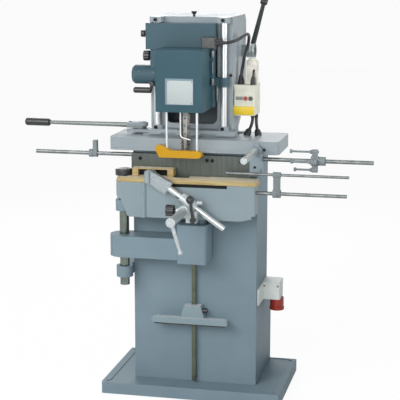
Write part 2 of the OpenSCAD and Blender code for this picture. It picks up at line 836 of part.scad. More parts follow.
// Frame of the lever rod, from the hub outwards
module feed_arm() translate([frame_r + 20 + gap + 17, feed_y, feed_z])
  rotate([-feed_lean, feed_splay, 0]) children();

module feed_grip() color("black") feed_arm() translate([0, 0, feed_l - grip_l]) grip_body();

module grip_body() difference() {
  grip(grip_d, grip_l, 0);
  translate([0, 0, -e]) cylinder(d = tang_d, h = grip_l * 0.6 + e);
}

// Lateral lever: pinion, flat hub and tapering rod, on the bed's stud
module side_lever() color("slategray") difference() {
  union() {
    translate([side_x, side_y, side_z]) linear_extrude(side_t) rotate(-90) gear(gear_m, side_teeth);
    cz([side_x, side_y, side_z + side_t - e], 44, plate_h + e);
    box([side_x - 56, side_y - 20, side_z + side_t + 1.5], [56, 40, plate_h - 1.5]);
    translate([side_x - 50, side_y, lever_z]) rotate([0, -90, 0]) {
      cylinder(d1 = 20, d2 = 15, h = side_l - 50 - grip_l);
      cylinder(d = tang_d, h = side_l - 50 - grip_l * 0.4);
    }
  }
  cz([side_x, side_y, side_z - e], 20 + 2 * run, 60);
}

module side_grip() color("black") translate([side_x - side_l + grip_l, side_y, lever_z])
  rotate([0, -90, 0]) grip_body();

// Head

// Head casting: back plate, column sleeves, presser guides, bar holder, drum and feed rack
module head_casting() color("steelblue") {
  arm_w = 16;
  root = 1.25 * gear_m;
  depth = plate_y - plate_f;
  rack_n = floor((stroke + 26) / gear_p);
  difference() {
    union() {
      box([head_x - back_w / 2, plate_f, hood_z + 4], [back_w, depth, up_top - hood_z - 4]);
      rbox([cast_l, plate_f, up_z], [back_r + 5 - cast_l, depth, up_top - up_z], 5);
      rbox([low_l, -col_front - 25, drum_z - 42], [back_r - back_w + 10 - low_l, 45, up_z - drum_z + 52], 5);
      cy([col_l - 12, -col_front - 29.5 + gap, drum_z - 33], 15, 5);
      cz([col_r, -col_front, sleeve_z], col_d + 16, sleeve_h2);
      box([back_r - e, -col_front - 15, sleeve_z], [col_r - back_r + e, 30, sleeve_h2]);
      cx([cast_l + 4 - drum_l, -col_front, drum_z], drum_d, drum_l);
      translate([cast_l + 4 - drum_l, -col_front, drum_z]) rotate([0, -90, 0])
        cylinder(d1 = drum_d, d2 = drum_d - 14, h = 9);
      intersection() {
        cx([cast_l + 4 - e, -col_front, drum_z], drum_d, hood_l - cast_l - 6.5);
        box([cast_l, -col_front - 40, drum_z - 40], [hood_l - cast_l, 54, 80]);
      }
      translate([0, 0, guide_z]) linear_extrude(guide_h) {
        for (x = [prod_l, prod_r]) {
          translate([x, -prod_front]) circle(10);
          translate([x - arm_w / 2, -prod_front]) square([arm_w, prod_front + plate_f + e]);
        }
        translate([prod_l, -prod_front - 10]) square([prod_span, 20]);
        translate([finger_x - 7, -prod_front + 8]) square([14, finger_y + 6 + prod_front - 8]);
      }
      box([chain_x - 8, -chain_front + link_t, shaft_z - 66], [16, chain_front - link_t + plate_f + e, 30]);
      box([rack_x - rack_w / 2 - 6, plate_y - e, feed_z - 50], [10, rack_y - root - plate_y + e, stroke + 62]);
      translate([rack_x - rack_w / 2 - 6, rack_y, feed_z]) rotate([0, 90, 0]) linear_extrude(rack_w + 6) {
        translate([-stroke - 13, -root - 10]) square([stroke + 26, 10]);
        for (i = [0 : rack_n - 1]) rack_tooth(gear_m, gear_p * (0.5 - i));
      }
    }
    for (x = [col_l, col_r]) cz([x, -col_front, hood_z], col_d + 2 * run, frame_z - hood_z);
    for (x = [prod_l, prod_r]) cz([x, -prod_front, guide_z - e], prod_d + 2 * run, guide_h + 2 * e);
    cy([chain_x, plate_f - e, shaft_z], 40, depth + 2 * e);
  }
}

// Chain hood: sheet box open behind and below, with a chip outlet on the left and hinge ears
module chain_hood() color("steelblue") {
  difference() {
    box([hood_l, hood_front, hood_z], [hood_w, hood_d, hood_h]);
    box([hood_l + hood_t, hood_front + hood_t, hood_z - e],
      [hood_w - 2 * hood_t, hood_d, hood_h - hood_t + e]);
    box([hood_l - e, hood_back - outlet_w, hood_z - e], [hood_t + 2 * e, outlet_w + e,
      guide_z + guide_h + 20 + stroke - hood_z]);
  }
  for (z = [hood_z + 118, hood_z + 182]) difference() {
    translate([0, 0, z]) linear_extrude(20) {
      translate([hinge_x, hinge_y]) circle(7);
      translate([hood_l + hood_w - e, hinge_y - 7]) square([hinge_x - hood_l - hood_w + e, 14]);
    }
    cz([hinge_x, hinge_y, z - e], 8 + 2 * run, 20 + 2 * e);
  }
}

// Hinge lugs and pin of the hood, and the depth stop under the right sleeve
module hood_lugs() color("gainsboro") {
  for (z = [hood_z + 94, hood_z + 204]) {
    cz([hinge_x, hinge_y, z], 15, 22);
    box([hinge_x - 5, hinge_y, z], [10, plate_f - hinge_y, 22]);
  }
  cz([hinge_x, hinge_y, hood_z + 94], 8, 132);
  cz([back_r + 9, -col_front - 8, sleeve_z - 58], 9, 58);
}

// Finned motor on the back of the head
module motor() color("slategray") difference() {
  union() {
    cy([chain_x, plate_y, shaft_z], motor_d - 16, motor_l);
    cy([chain_x, plate_y, shaft_z], motor_d, 12);
    cy([chain_x, plate_y + motor_l - 34, shaft_z], motor_d - 4, 34);
    for (i = [0 : fins - 1]) translate([chain_x, plate_y + 12 - e, shaft_z]) rotate([0, i * 360 / fins, 0])
      translate([motor_d / 2 - 14, 0, -1.5]) cube([12, motor_l - 50, 3]);
  }
  cy([chain_x, plate_y - e, shaft_z], 24 + 2 * run, motor_l * 0.6 + e);
}

// Motor connector on the front of the head
module terminal_box() color("black") {
  p = motor_route[0];
  rbox([p[0] - 79, plate_f - 45, hood_top + gap], [56, 45, 41], 5);
  translate([p[0] - 24, p[1], p[2]]) rotate([0, 90, 0]) cylinder(d1 = 34, d2 = cable_d + 4, h = 24);
}

// Knobs and lever on the left of the head
module adjust_knob() color("black") translate([low_l, -col_front - 10, up_z - 26]) rotate([0, -90, 0]) {
  cylinder(d = 14, h = 8);
  translate([0, 0, 5.5]) star_knob(40, 22, 7);
}

module clamp_knob() color("black") translate([cast_l, plate_f + 19, up_z + 60]) rotate([0, -90, 0]) {
  cylinder(d = 10, h = 8);
  translate([0, 0, 6]) cylinder(d = 27, h = 14);
}

module lock_lever() color("black") {
  y = -col_front - 34;
  cy([col_l - 12, y - 9, drum_z - 33], 18, 13.5);
  translate([col_l - 12, y - 2.5, drum_z - 33]) rotate([0, -170, 0]) cylinder(d = 12, h = 26);
  translate([col_l - 13, y, drum_z - 59]) rotate([0, -90, 0]) grip(23, 74, 0);
}

// Guide bar from the holder to the nose, with lightening holes
module guide_bar() color("dimgray") {
  top = shaft_z - 36 - nose_z;
  half_t = rivet(0)[0] - link_r - gap - (pin_r_top - pin_r_nose) * (1 - top / axis_d);
  half_n = inside(pin_r_nose);
  translate([chain_x, -chain_front + link_t, nose_z]) rotate([90, 0, 0]) {
    linear_extrude(2 * link_t) difference() {
      polygon([[-half_t, top], [half_t, top], [half_n, 0], [-half_n, 0]]);
      for (i = [0 : 4]) translate([0, 70 + i * 30]) circle(3.5);
    }
    cylinder(r = half_n, h = 2 * link_t);
  }
}

// One link: plates between two rivets, with a raked tooth outwards
module link(a, b, t) {
  d = b - a;
  c = norm(d);
  rotate([90, 0, 0]) translate([a[0], a[1], -t / 2]) rotate(atan2(d[1], d[0])) linear_extrude(t) {
    circle(link_r, $fn = 24);
    translate([c, 0]) circle(link_r, $fn = 24);
    translate([0, -link_r]) square([c, 2 * link_r]);
    polygon([[c * 0.1, link_r - 0.2], [c * 0.05, link_r + tooth_h], [c * 0.55, link_r + tooth_h * 0.8],
      [c * 0.9, link_r - 0.2]]);
  }
}

// Mortising chain: centre links and pairs of outer links on common rivets
module chain() color("saddlebrown") translate([chain_x, -chain_front, nose_z]) {
  for (i = [0 : links - 1]) {
    a = rivet(i * loop_l / links);
    b = rivet(((i + 1) % links) * loop_l / links);
    if (i % 2 == 0) link(a, b, link_t + gap);
    else for (s = [-1, 1]) translate([0, s * (link_t + gap), 0]) link(a, b, link_t);
    translate([a[0], chain_t / 2 + 0.4, a[1]]) rotate([90, 0, 0])
      cylinder(d = rivet_d, h = chain_t + 0.8, $fn = 16);
  }
}

// Bent finger that breaks the chips beside the chain
module chip_finger() color("mistyrose") {
  bend = 14;
  turn = 75;
  translate([finger_x, finger_y, hood_z - 88]) {
    cylinder(d = 6, h = guide_z - hood_z + 88);
    translate([bend, 0, 0]) rotate([90, 0, 0]) rotate(180) rotate_extrude(angle = turn)
      translate([bend, 0]) circle(3);
    translate([bend - bend * cos(turn), 0, -bend * sin(turn)]) rotate([0, 180 - turn, 0]) cylinder(d = 6, h = 30);
  }
}

// Drive sprocket on the motor shaft
module sprocket() color("gray") {
  teeth = 10;
  r = inside(pin_r_top);
  translate([chain_x, -chain_front + link_t, shaft_z]) rotate([90, 0, 0]) linear_extrude(2 * link_t)
    difference() {
      circle(r);
      for (i = [0 : teeth - 1]) rotate(i * 360 / teeth) translate([r + 1, 0]) circle(2.6);
    }
  cy([chain_x, -chain_front - link_t - 8, shaft_z], 22, 8 + e);
  cy([chain_x, -chain_front, shaft_z], 24, chain_front + plate_y + motor_l * 0.6 - 1);
}

// Presser foot: front bar with a hooked left end, and two prongs beside the chain
module presser_foot() color("goldenrod") {
  left = head_x - 6 - foot_l / 2;
  difference() {
    union() {
      translate([0, foot_y + foot_d, 0]) rotate([90, 0, 0]) linear_extrude(foot_d) {
        translate([left + 16, foot_z]) square([foot_l - 16 - foot_h / 2, foot_h]);
        translate([left + foot_l - foot_h / 2, foot_z + foot_h / 2]) circle(foot_h / 2);
        polygon([[left + 16, foot_z], [left, foot_z + 30], [left + 12, foot_z + 46], [left + 30, foot_z + 46],
          [left + 58, foot_z + foot_h]]);
        translate([left + 14, foot_z + 34]) circle(14);
      }
      for (x = [prod_l - 14, prod_r - 14]) box([x, foot_y + foot_d - e, foot_z], [28, 50, 8]);
    }
    for (x = [prod_l, prod_r]) cz([x, -prod_front, foot_z + 6], prod_d, foot_h + 30);
  }
}

module presser_rods() color("gainsboro") for (x = [prod_l, prod_r]) {
  cz([x, -prod_front, foot_z + 6], prod_d, guide_z + guide_h + 12 - foot_z - 6);
  cz([x, -prod_front, guide_z + guide_h + gap], prod_d + 8, 9);
}

// Work table

// Knee: hinge boss, arm and centre box with its lift pillar
module knee() color("lightsteelblue") {
  wall = 12;
  difference() {
    union() {
      translate([0, 0, knee_z]) linear_extrude(knee_h) {
        translate([px, py]) circle(knee_r);
        translate([px, py - knee_r]) square([post_x - box_x + 20, 2 * knee_r]);
      }
      rbox([-box_x, box_front, box_z], [box_w, box_back - box_front, box_h], 14);
      cz([pillar_x, pillar_y, box_z + box_h - e], pillar_d, 124 + e);
    }
    for (i = [0, 1]) box([px + knee_r + i * (72 + wall), py - knee_r + wall, knee_z - e],
      [72, 2 * knee_r - 2 * wall, knee_h - wall + e]);
    box([-box_x + wall, box_front + wall, box_z - e], [box_w - 2 * wall, box_back - box_front - 2 * wall,
      box_h - wall - 20 + e]);
    cz([px, py, knee_z - e], post_d + 2 * run, knee_h + 2 * e);
  }
}

// Table casting: apron, deck, ribs, post sleeve, quill boss and pillar boss
module table_frame() color("lightsteelblue") {
  deck_z = board_z - deck_t;
  quill_boss = quill_d + 28;
  difference() {
    union() {
      xz(tab_y + apron_t, apron_t) polygon([[apron_l, apron_z + notch_h], [apron_l + notch_w - 3, apron_z + 6],
        [apron_l + notch_w, apron_z + 2], [apron_l + notch_w + 6, apron_z], [apron_r - 44, apron_z],
        [apron_r, apron_z + 10], [apron_r, board_z], [apron_l, board_z]]);
      box([apron_l - 12, tab_y, apron_z + notch_h], [14, apron_t, apron_h - notch_h]);
      box([apron_r - e, tab_y, apron_z + 22], [13, tab_d - 6, apron_h - 22]);
      box([apron_l, tab_y, deck_z], [apron_r - apron_l, tab_d - 6, deck_t]);
      for (x = [apron_l + 140, apron_r - 110]) box([x, tab_y, apron_z + 30], [10, tab_d - 10, apron_h - 30]);
      cz([px, py, lug2_z + lug_h + 16], post_d + 22, board_z - lug2_z - lug_h - 16);
      cz([apron_l + 95, tab_y + 2, apron_z], 22, apron_h);
      cy([quill_x, tab_y - 5, quill_z], quill_boss, tab_d - 8);
      box([quill_x - 8, tab_y, quill_z], [16, tab_d - 12, board_z - quill_z]);
      cz([pillar_x, pillar_y, box_z + box_h + 20], pillar_d + 18, deck_z - box_z - box_h - 20 + e);
    }
    box([relief_x, tab_y + tab_d - relief_d, deck_z - e], [relief_w, relief_d + e, deck_t + 2 * e]);
    box([apron_l + 201, tab_y - e, board_z - 13], [224, 26 + e, 13 + e]);
    cz([px, py, apron_z], post_d + 2 * run, apron_h + e);
    cy([quill_x, tab_y - 10, quill_z], quill_d + 2 * run, tab_d + 20);
    cz([pillar_x, pillar_y, apron_z - 20], pillar_d + 2 * run, deck_z - apron_z + 20);
    cx([apron_r - 8, rail_y, rail_z], rail_d, 30);
  }
}

// Wooden board, relieved behind for the chain and bored for the post
module table_top() color("burlywood") difference() {
  rbox([wood_x, tab_y - 2, board_z], [wood_l, tab_d, wood_t], 3);
  box([relief_x, tab_y + tab_d - relief_d, board_z - e], [relief_w, relief_d + e, wood_t + 2 * e]);
  cz([px, py, board_z - e], post_d + 2, wood_t + 2 * e);
}

module stop_rail() color("gainsboro") cx([rail_x - 8, rail_y, rail_z], rail_d, rail_l + 8);

// Fork that carries the finger rod on the stop rail
module stop_fork() color("lightgray") difference() {
  union() {
    cx([fork_x, rail_y, rail_z], 32, 30);
    box([fork_x + 2, rail_y - 7, rail_z], [26, 14, fing_z - rail_z]);
    cx([fork_x, rail_y, fing_z], 22, 30);
    cy([fork_x + 15, rail_y - 26, rail_z], 10, 12);
  }
  cx([fork_x - e, rail_y, rail_z], rail_d + 2 * run, 30 + 2 * e);
  cx([fork_x - e, rail_y, fing_z], fing_d + 2 * run, 30 + 2 * e);
}

module finger_rod() color("gainsboro") cx([fing_x, rail_y, fing_z], fing_d, fing_l);

// Clamp

// Clamp quill: slides in the table's boss, with a thicker sleeve in front
module clamp_quill() color("lightgray") {
  cy([quill_x, quill_y, quill_z], quill_d, quill_back - quill_y);
  cy([quill_x, quill_y, quill_z], quill_d + 8, block_f - gap - quill_y);
}

// Cross block: turns on the quill and holds the clamp bar
module cross_block() color("lightgray") difference() {
  union() {
    cy([quill_x, block_f, quill_z], quill_d + 22, block_l);
    bar_axis() translate([0, 0, -36]) cylinder(d = bar_d + 18, h = 72);
    box([quill_x + 8, block_f + 8, quill_z - 44], [42, 36, 44]);
    cx([quill_x - quill_d / 2 - 20, block_f + 20, quill_z], 22, 20);
    cx([bar_x + 34, bar_y, bar_z], 18, 22);
  }
  bar_axis() translate([0, 0, -60]) cylinder(d = bar_d, h = 120);
  cy([quill_x, block_f - e, quill_z], quill_d + 2 * run, block_l + 2 * e);
}

// Axis of the clamp bar, sloping down to the right
module bar_axis() translate([bar_x, bar_y, bar_z]) rotate([0, 90 + bar_tilt, 0]) children();

// Hanging hand lever on the front of the quill
module clamp_lever() color("lightgray") {
  y = quill_y - 22 - gap;
  cy([quill_x, y, quill_z], 36, 22);
  translate([quill_x, y + 11, quill_z]) rotate([0, 163, 0]) {
    cylinder(d1 = 16, d2 = 12, h = 118);
    translate([0, 0, 118]) sphere(d = 20);
  }
}

// Clamp bar with its flat head and the link to the shoe
module clamp_arm() color("gainsboro") {
  c = cos(bar_tilt);
  s = sin(bar_tilt);
  hx = bar_x - bar_up * c;
  hz = bar_z + bar_up * s;
  bar_axis() translate([0, 0, -bar_up]) cylinder(d = bar_d, h = bar_l);
  translate([0, bar_y + 13, 0]) rotate([90, 0, 0]) linear_extrude(26) {
    polygon([[hx - 6 - 26 * s, hz - 26 * c], [hx + 24 * c - 26 * s, hz - 24 * s - 26 * c],
      [hx + 24 * c + 26 * s, hz - 24 * s + 26 * c], [pin_x + 6, pin_z + 26], [pin_x - 12, pin_z + 22],
      [pin_x - 14, pin_z - 16], [pin_x + 6, pin_z - 22]]);
  }
  cz([pin_x, bar_y - 17, pin_z - 22], 20, 44);
  box([pin_x - 10, bar_y + 12, pin_z - 8], [20, shoe_y - bar_y - 12, 16]);
  cz([pin_x, shoe_y, pin_z - 8], 20, 16);
  cz([pin_x, shoe_y, pin_z - 8], 10, wood_z + gap + shoe_h - pin_z + 8);
}

// Locking lever with a ball knob, on the cross block
module bar_lock() color("black") {
  x = quill_x + 38;
  y = block_f + 8;
  z = quill_z - 30;
  cy([x, y - 16, z], 22, 16 - gap);
  translate([x, y - 8, z]) rotate([0, -8, 0]) {
    cylinder(d = 11, h = 66);
    translate([0, 0, 64]) ball_knob(ball_d);
  }
}

module quill_knob() color("black") translate([quill_x - quill_d / 2 - 20 - gap, block_f + 20, quill_z])
  rotate([0, -90, 0]) {
    cylinder(d = 14, h = 10);
    translate([0, 0, 8]) star_knob(44, 30, 6);
  }

// Wooden shoe, hollowed in front round the link's eye
module clamp_shoe() color("burlywood") {
  z = wood_z + gap;
  difference() {
    box([shoe_x, shoe_back - shoe_t - 22, z], [shoe_l, shoe_t + 22, shoe_h]);
    box([shoe_x + 24, shoe_back - shoe_t - 22 - e, z - e], [shoe_l - 48, 22 + e, shoe_h - 5 + e]);
    cz([pin_x, shoe_y, z], 10 + 2 * run, shoe_h + e);
  }
}

// Stops and door rest

module left_collar() color("lightgray") difference() {
  cx([lst_x - 34, stop_y, stop_z], stop_d + 16, 15);
  cx([lst_x - 35, stop_y, stop_z], stop_d + 2 * run, 17);
}

module flip_stop() color("lightgray") difference() {
  union() {
    cx([lst_x - 19 + gap, stop_y, stop_z], stop_d + 14, 18);
    box([lst_x - 18 + gap, stop_y - 11, stop_z], [16, 22, 52]);
  }
  cx([lst_x - 20, stop_y, stop_z], stop_d + 2 * run, 22);
}

module turret_collar() color("lightgray") difference() {
  cx([tur_x, stop_y, stop_z], stop_d + 18, 26);
  cx([tur_x - e, stop_y, stop_z], stop_d + 2 * run, 28);
}

// Turret with three stop screws of different reach
module stop_turret() color("lightgray") difference() {
  union() {
    cx([tur_x - 30, stop_y, stop_z], stop_d + 20, 30 - gap);
    for (a = [0, 1, 2]) translate([tur_x - 26, stop_y, stop_z]) rotate([a * 90, 0, 0]) {
      box([0, -9, 0], [22, 18, tur_r]);
      cx([0, 0, tur_r], 20, 22);
      cx([-78 + a * 8, 0, tur_r], 8, 104 - a * 16);
      translate([-86 + a * 8, 0, tur_r]) rotate([0, 90, 0]) cylinder(d = 15, h = 9, $fn = 6);
      translate([-8, 0, tur_r]) rotate([0, 90, 0]) cylinder(d = 15, h = 7, $fn = 6);
    }
  }
  cx([tur_x - 31, stop_y, stop_z], stop_d + 2 * run, 32);
}

// Door rest: a shelf on a tapering hub that slides on the rail
module rest_shelf() color("lightsteelblue") difference() {
  union() {
    translate([0, rest_y - 24, 0]) rotate([90, 0, 0]) linear_extrude(18) {
      translate([-rest_l / 2 - 8, rest_z]) rsq(rest_l, 24, 11);
    }
    box([-rest_l / 2 + 6, rest_y - 26, rest_z + 3], [rest_l - 28, 22, 18]);
    xz(rest_y + rest_rail_t + 6, rest_rail_t + 32) polygon([[-50, rest_z + 16], [50, rest_z + 16],
      [34, rest_z + 70], [-34, rest_z + 70]]);
    cx([36, rest_y - 8, rest_z + 50], 16, 22);
  }
  box([-rest_rail_w / 2 - gap, rest_y - gap, rest_z - 20], [rest_rail_w + 2 * gap, rest_rail_t + 2 * gap, 120]);
  box([-rest_l, rest_y + rest_rail_t + 6, rest_z - 20], [2 * rest_l, 20, 120]);
}

// Power inlet

// Inlet housing on a mounting plate
module inlet_box() color("whitesmoke") {
  rbox([ped_w / 2, inlet_y, inlet_z], [inlet_w, inlet_d2, inlet_h], 6);
  box([ped_w / 2, -ped_front + 14, inlet_z + 2], [7, ped_front - 14 + inlet_y + 10, inlet_h - 4]);
}

// Downward sleeve with contact pins and the ears of the lid's hinge
module inlet_socket() color("red") {
  difference() {
    cz([in_x, in_y, lid_z], inlet_d, sleeve_h);
    cz([in_x, in_y, lid_z - e], inlet_d - 8, sleeve_h - 4 + e);
  }
  for (a = [0 : 4]) translate([in_x + 15 * cos(a * 72), in_y + 15 * sin(a * 72), lid_z + 12])
    cylinder(d = 6, h = sleeve_h - 15);
  for (x = [in_x - 15, in_x + 10 + gap]) {
    cx([x, lid_y, lid_z], 8, 5 - gap);
    box([x, lid_y - 10, lid_z], [5 - gap, 10, 10]);
  }
  cx([in_x - 14, lid_y, lid_z], 3, 28);
}

// Hinged lid, a shallow cup below the sleeve
module inlet_lid() color("red") difference() {
  union() {
    cz([in_x, in_y, lid_z - 12], inlet_d + 4, 12 - gap);
    cx([in_x - 10, lid_y, lid_z], 8, 20);
    box([in_x - 10, lid_y - 10, lid_z - 8], [20, 10, 6]);
  }
  cz([in_x, in_y, lid_z - 8], inlet_d - 8, 10);
  cx([in_x - 11, lid_y, lid_z], 3 + 2 * run, 22);
}

base_plate();
pedestal();
bed();
fence();
stop_rods();
end_bracket();
forward_bar();
hinge_post();
post_cap();
hinge_lugs();
rest_rail();
inlet_box();
inlet_socket();
inlet_lid();
carriage();
head_frame();
columns();
oil_cup();
switch_box();
start_button();
stop_button();
limit_switch();
motor_cable();
switch_cables();
feed_lever();
feed_grip();
side_lever();
side_grip();
head_casting();
chain_hood();
hood_lugs();
motor();
terminal_box();
adjust_knob();
clamp_knob();
lock_lever();
guide_bar();
chain();
chip_finger();
sprocket();
presser_foot();
presser_rods();
knee();
table_frame();
table_top();
stop_rail();
stop_fork();
finger_rod();
clamp_quill();
cross_block();
clamp_lever();
clamp_arm();
bar_lock();
quill_knob();
clamp_shoe();
left_collar();
flip_stop();
turret_collar();
stop_turret();
rest_shelf();
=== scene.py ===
import math

import bmesh
import bpy
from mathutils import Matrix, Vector


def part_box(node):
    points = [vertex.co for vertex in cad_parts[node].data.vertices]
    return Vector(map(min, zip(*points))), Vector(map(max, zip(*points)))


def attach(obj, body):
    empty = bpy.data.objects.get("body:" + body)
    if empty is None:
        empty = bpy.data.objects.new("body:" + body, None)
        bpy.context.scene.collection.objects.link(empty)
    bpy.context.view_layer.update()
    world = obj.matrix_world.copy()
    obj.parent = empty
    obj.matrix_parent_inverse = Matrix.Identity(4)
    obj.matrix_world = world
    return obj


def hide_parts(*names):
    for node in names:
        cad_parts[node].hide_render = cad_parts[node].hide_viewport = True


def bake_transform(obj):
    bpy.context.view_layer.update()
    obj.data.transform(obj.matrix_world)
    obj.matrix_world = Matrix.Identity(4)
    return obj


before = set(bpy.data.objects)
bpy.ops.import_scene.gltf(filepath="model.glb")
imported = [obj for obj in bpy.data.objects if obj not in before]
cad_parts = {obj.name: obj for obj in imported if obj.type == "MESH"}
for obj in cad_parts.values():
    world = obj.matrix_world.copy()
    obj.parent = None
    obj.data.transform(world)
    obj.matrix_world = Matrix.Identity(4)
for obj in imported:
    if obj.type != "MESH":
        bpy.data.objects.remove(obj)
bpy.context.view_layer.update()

# Studio: a long lens at the height of a standing person, a pale paper floor that keeps
# the machine's shadow, and soft lamps from the upper left, the front and behind.


def linear(code):
    """Linear RGBA of an sRGB hex colour."""
    parts = [int(code[i:i + 2], 16) / 255 for i in (1, 3, 5)]
    return tuple(c / 12.92 if c <= 0.04045 else ((c + 0.055) / 1.055) ** 2.4 for c in parts) + (1.0,)


def add(tree, kind, settings=None, links=None):
    """Adds one node: settings by attribute or input name, links as {input: (node, output)}.
    The setting called stops holds the (position, hex colour) pairs of a colour ramp."""
    made = tree.nodes.new(kind)
    for key, value in (settings or {}).items():
        if key == "stops":
            for element, (position, code) in zip(made.color_ramp.elements, value):
                element.position = position
                element.color = linear(code)
        elif isinstance(key, str) and hasattr(made, key):
            setattr(made, key, value)
        else:
            made.inputs[key].default_value = value
    for key, (source, output) in (links or {}).items():
        tree.links.new(source.outputs[output], made.inputs[key])
    return made


def sight(tree):
    """A node whose Value is 1 for the rays of the camera and for those that metal and glass send on."""
    ray = add(tree, "ShaderNodeLightPath")
    sent_on = add(tree, "ShaderNodeMath", {"operation": "MAXIMUM"},
                  {0: (ray, "Is Glossy Ray"), 1: (ray, "Is Transmission Ray")})
    return add(tree, "ShaderNodeMath", {"operation": "MAXIMUM"},
               {0: (ray, "Is Camera Ray"), 1: (sent_on, "Value")})


def facing(spot, aim):
    """Euler angles that turn a camera or a lamp at spot towards aim."""
    return (Vector(aim) - Vector(spot)).to_track_quat("-Z", "Y").to_euler()


scene = bpy.context.scene
camera = bpy.data.objects.new("camera", bpy.data.cameras.new("camera"))
scene.collection.objects.link(camera)
camera_aim = (-0.007, 0.0, 0.767)
camera.data.sensor_width = 36.0
camera.data.lens = 113.8
camera.location = (1.1038, -4.8893, 1.7689)
camera.rotation_euler = facing(camera.location, camera_aim)
scene.camera = camera
scene.view_settings.view_transform = "Standard"

for lamp_name, spot, aim, size, watts, spread in (
        ("key_lamp", (-1.4, -2.8, 2.4), (0.0, 0.0, 0.9), 1.9, 51, 180),
        ("front_lamp", (0.05, -3.8, 1.7), (0.0, 0.0, 0.85), 2.1, 47, 180),
        ("side_lamp", (2.4, -0.45, 1.75), (0.1, -0.1, 1.35), 0.8, 2.3, 45),
        ("top_lamp", (0.1, 0.2, 3.5), (0.0, 0.0, 0.8), 1.8, 6, 180),
        ("back_lamp", (-1.0, 3.2, 2.6), (0.0, 0.0, 0.9), 2.0, 42, 180)):
    lamp = bpy.data.objects.new(lamp_name, bpy.data.lights.new(lamp_name, "AREA"))
    lamp.data.size = size
    lamp.data.energy = watts
    lamp.data.spread = math.radians(spread)
    lamp.location = spot
    lamp.rotation_euler = facing(spot, aim)
    scene.collection.objects.link(lamp)

# The room gives less light from the camera's side, and shows as white where it is seen
world = bpy.data.worlds.new("studio")
scene.world = world
world.use_nodes = True
sky = world.node_tree
sky.nodes.clear()
way = add(sky, "ShaderNodeTexCoord")
axes = add(sky, "ShaderNodeSeparateXYZ", None, {0: (way, "Generated")})
depth = add(sky, "ShaderNodeMapRange", {"From Min": -0.7, "From Max": 0.5, "To Min": 0.17, "To Max": 0.28},
            {"Value": (axes, "Y")})
soft = add(sky, "ShaderNodeBackground", {"Color": linear("#f4f6f8")}, {"Strength": (depth, "Result")})
white = add(sky, "ShaderNodeBackground", {"Color": (1, 1, 1, 1), "Strength": 0.965})
pick = add(sky, "ShaderNodeMixShader", None,
           {0: (sight(sky), "Value"), 1: (soft, "Background"), 2: (white, "Background")})
add(sky, "ShaderNodeOutputWorld", None, {"Surface": (pick, "Shader")})

# Matt paper, lifted nine tenths of the way to white where it is seen, so that a soft shadow stays
floor_left, floor_right, floor_front, floor_back = -9, 9, -9, 14
floor_lift = 0.9
floor_mesh = bpy.data.meshes.new("floor")
floor_corners = [(floor_left, floor_front, 0), (floor_right, floor_front, 0),
                 (floor_right, floor_back, 0), (floor_left, floor_back, 0)]
floor_mesh.from_pydata(floor_corners, [], [(0, 1, 2, 3)])
floor = bpy.data.objects.new("floor", floor_mesh)
scene.collection.objects.link(floor)
paper = bpy.data.materials.new("pale_paper")
paper.use_nodes = True
tree = paper.node_tree
tree.nodes.clear()
matt = add(tree, "ShaderNodeBsdfDiffuse", {"Color": linear("#e9eaeb")})
glow = add(tree, "ShaderNodeEmission", {"Color": (1, 1, 1, 1), "Strength": 1.045})
share = add(tree, "ShaderNodeMath", {"operation": "MULTIPLY", 1: floor_lift}, {0: (sight(tree), "Value")})
mixed = add(tree, "ShaderNodeMixShader", None,
            {0: (share, "Value"), 1: (matt, "BSDF"), 2: (glow, "Emission")})
add(tree, "ShaderNodeOutputMaterial", None, {"Surface": (mixed, "Shader")})
floor_mesh.materials.append(paper)

# Base and pedestal: a cast base plate and a folded sheet-steel column bolted to it,
# sprayed with blue-grey machine enamel. The hinge lugs and the knee match them.

mm = 0.001
# The colour sockets of a Mix node, by number, because its other sockets share their names
mix_from, mix_to, mix_out = 6, 7, 2


def finish(kind, colour, roughness, metallic=0.0, **sockets):
    """A new Principled material with its uniform values set on the shader, and its tree and shader."""
    material = bpy.data.materials.new(kind)
    material.use_nodes = True
    shader = material.node_tree.nodes["Principled BSDF"]
    shader.inputs["Base Color"].default_value = linear(colour)
    shader.inputs["Roughness"].default_value = roughness
    shader.inputs["Metallic"].default_value = metallic
    for name, value in sockets.items():
        shader.inputs[name.replace("_", " ")].default_value = value
    return material, material.node_tree, shader


def soften(tree, shader, radius, relief=None, strength=0.0, depth=0.0):
    """Rounds the edges in the shading and raises a pattern on the surface, by a radius and a depth in
    millimetres. Returns the node of the rounded edges."""
    soft_edge = add(tree, "ShaderNodeBevel", {"samples": 4, "Radius": radius * mm})
    surface = soft_edge
    if relief:
        surface = add(tree, "ShaderNodeBump", {"Strength": strength, "Distance": depth * mm},
                      {"Height": (relief, "Fac"), "Normal": (soft_edge, "Normal")})
    tree.links.new(surface.outputs["Normal"], shader.inputs["Normal"])
    return soft_edge


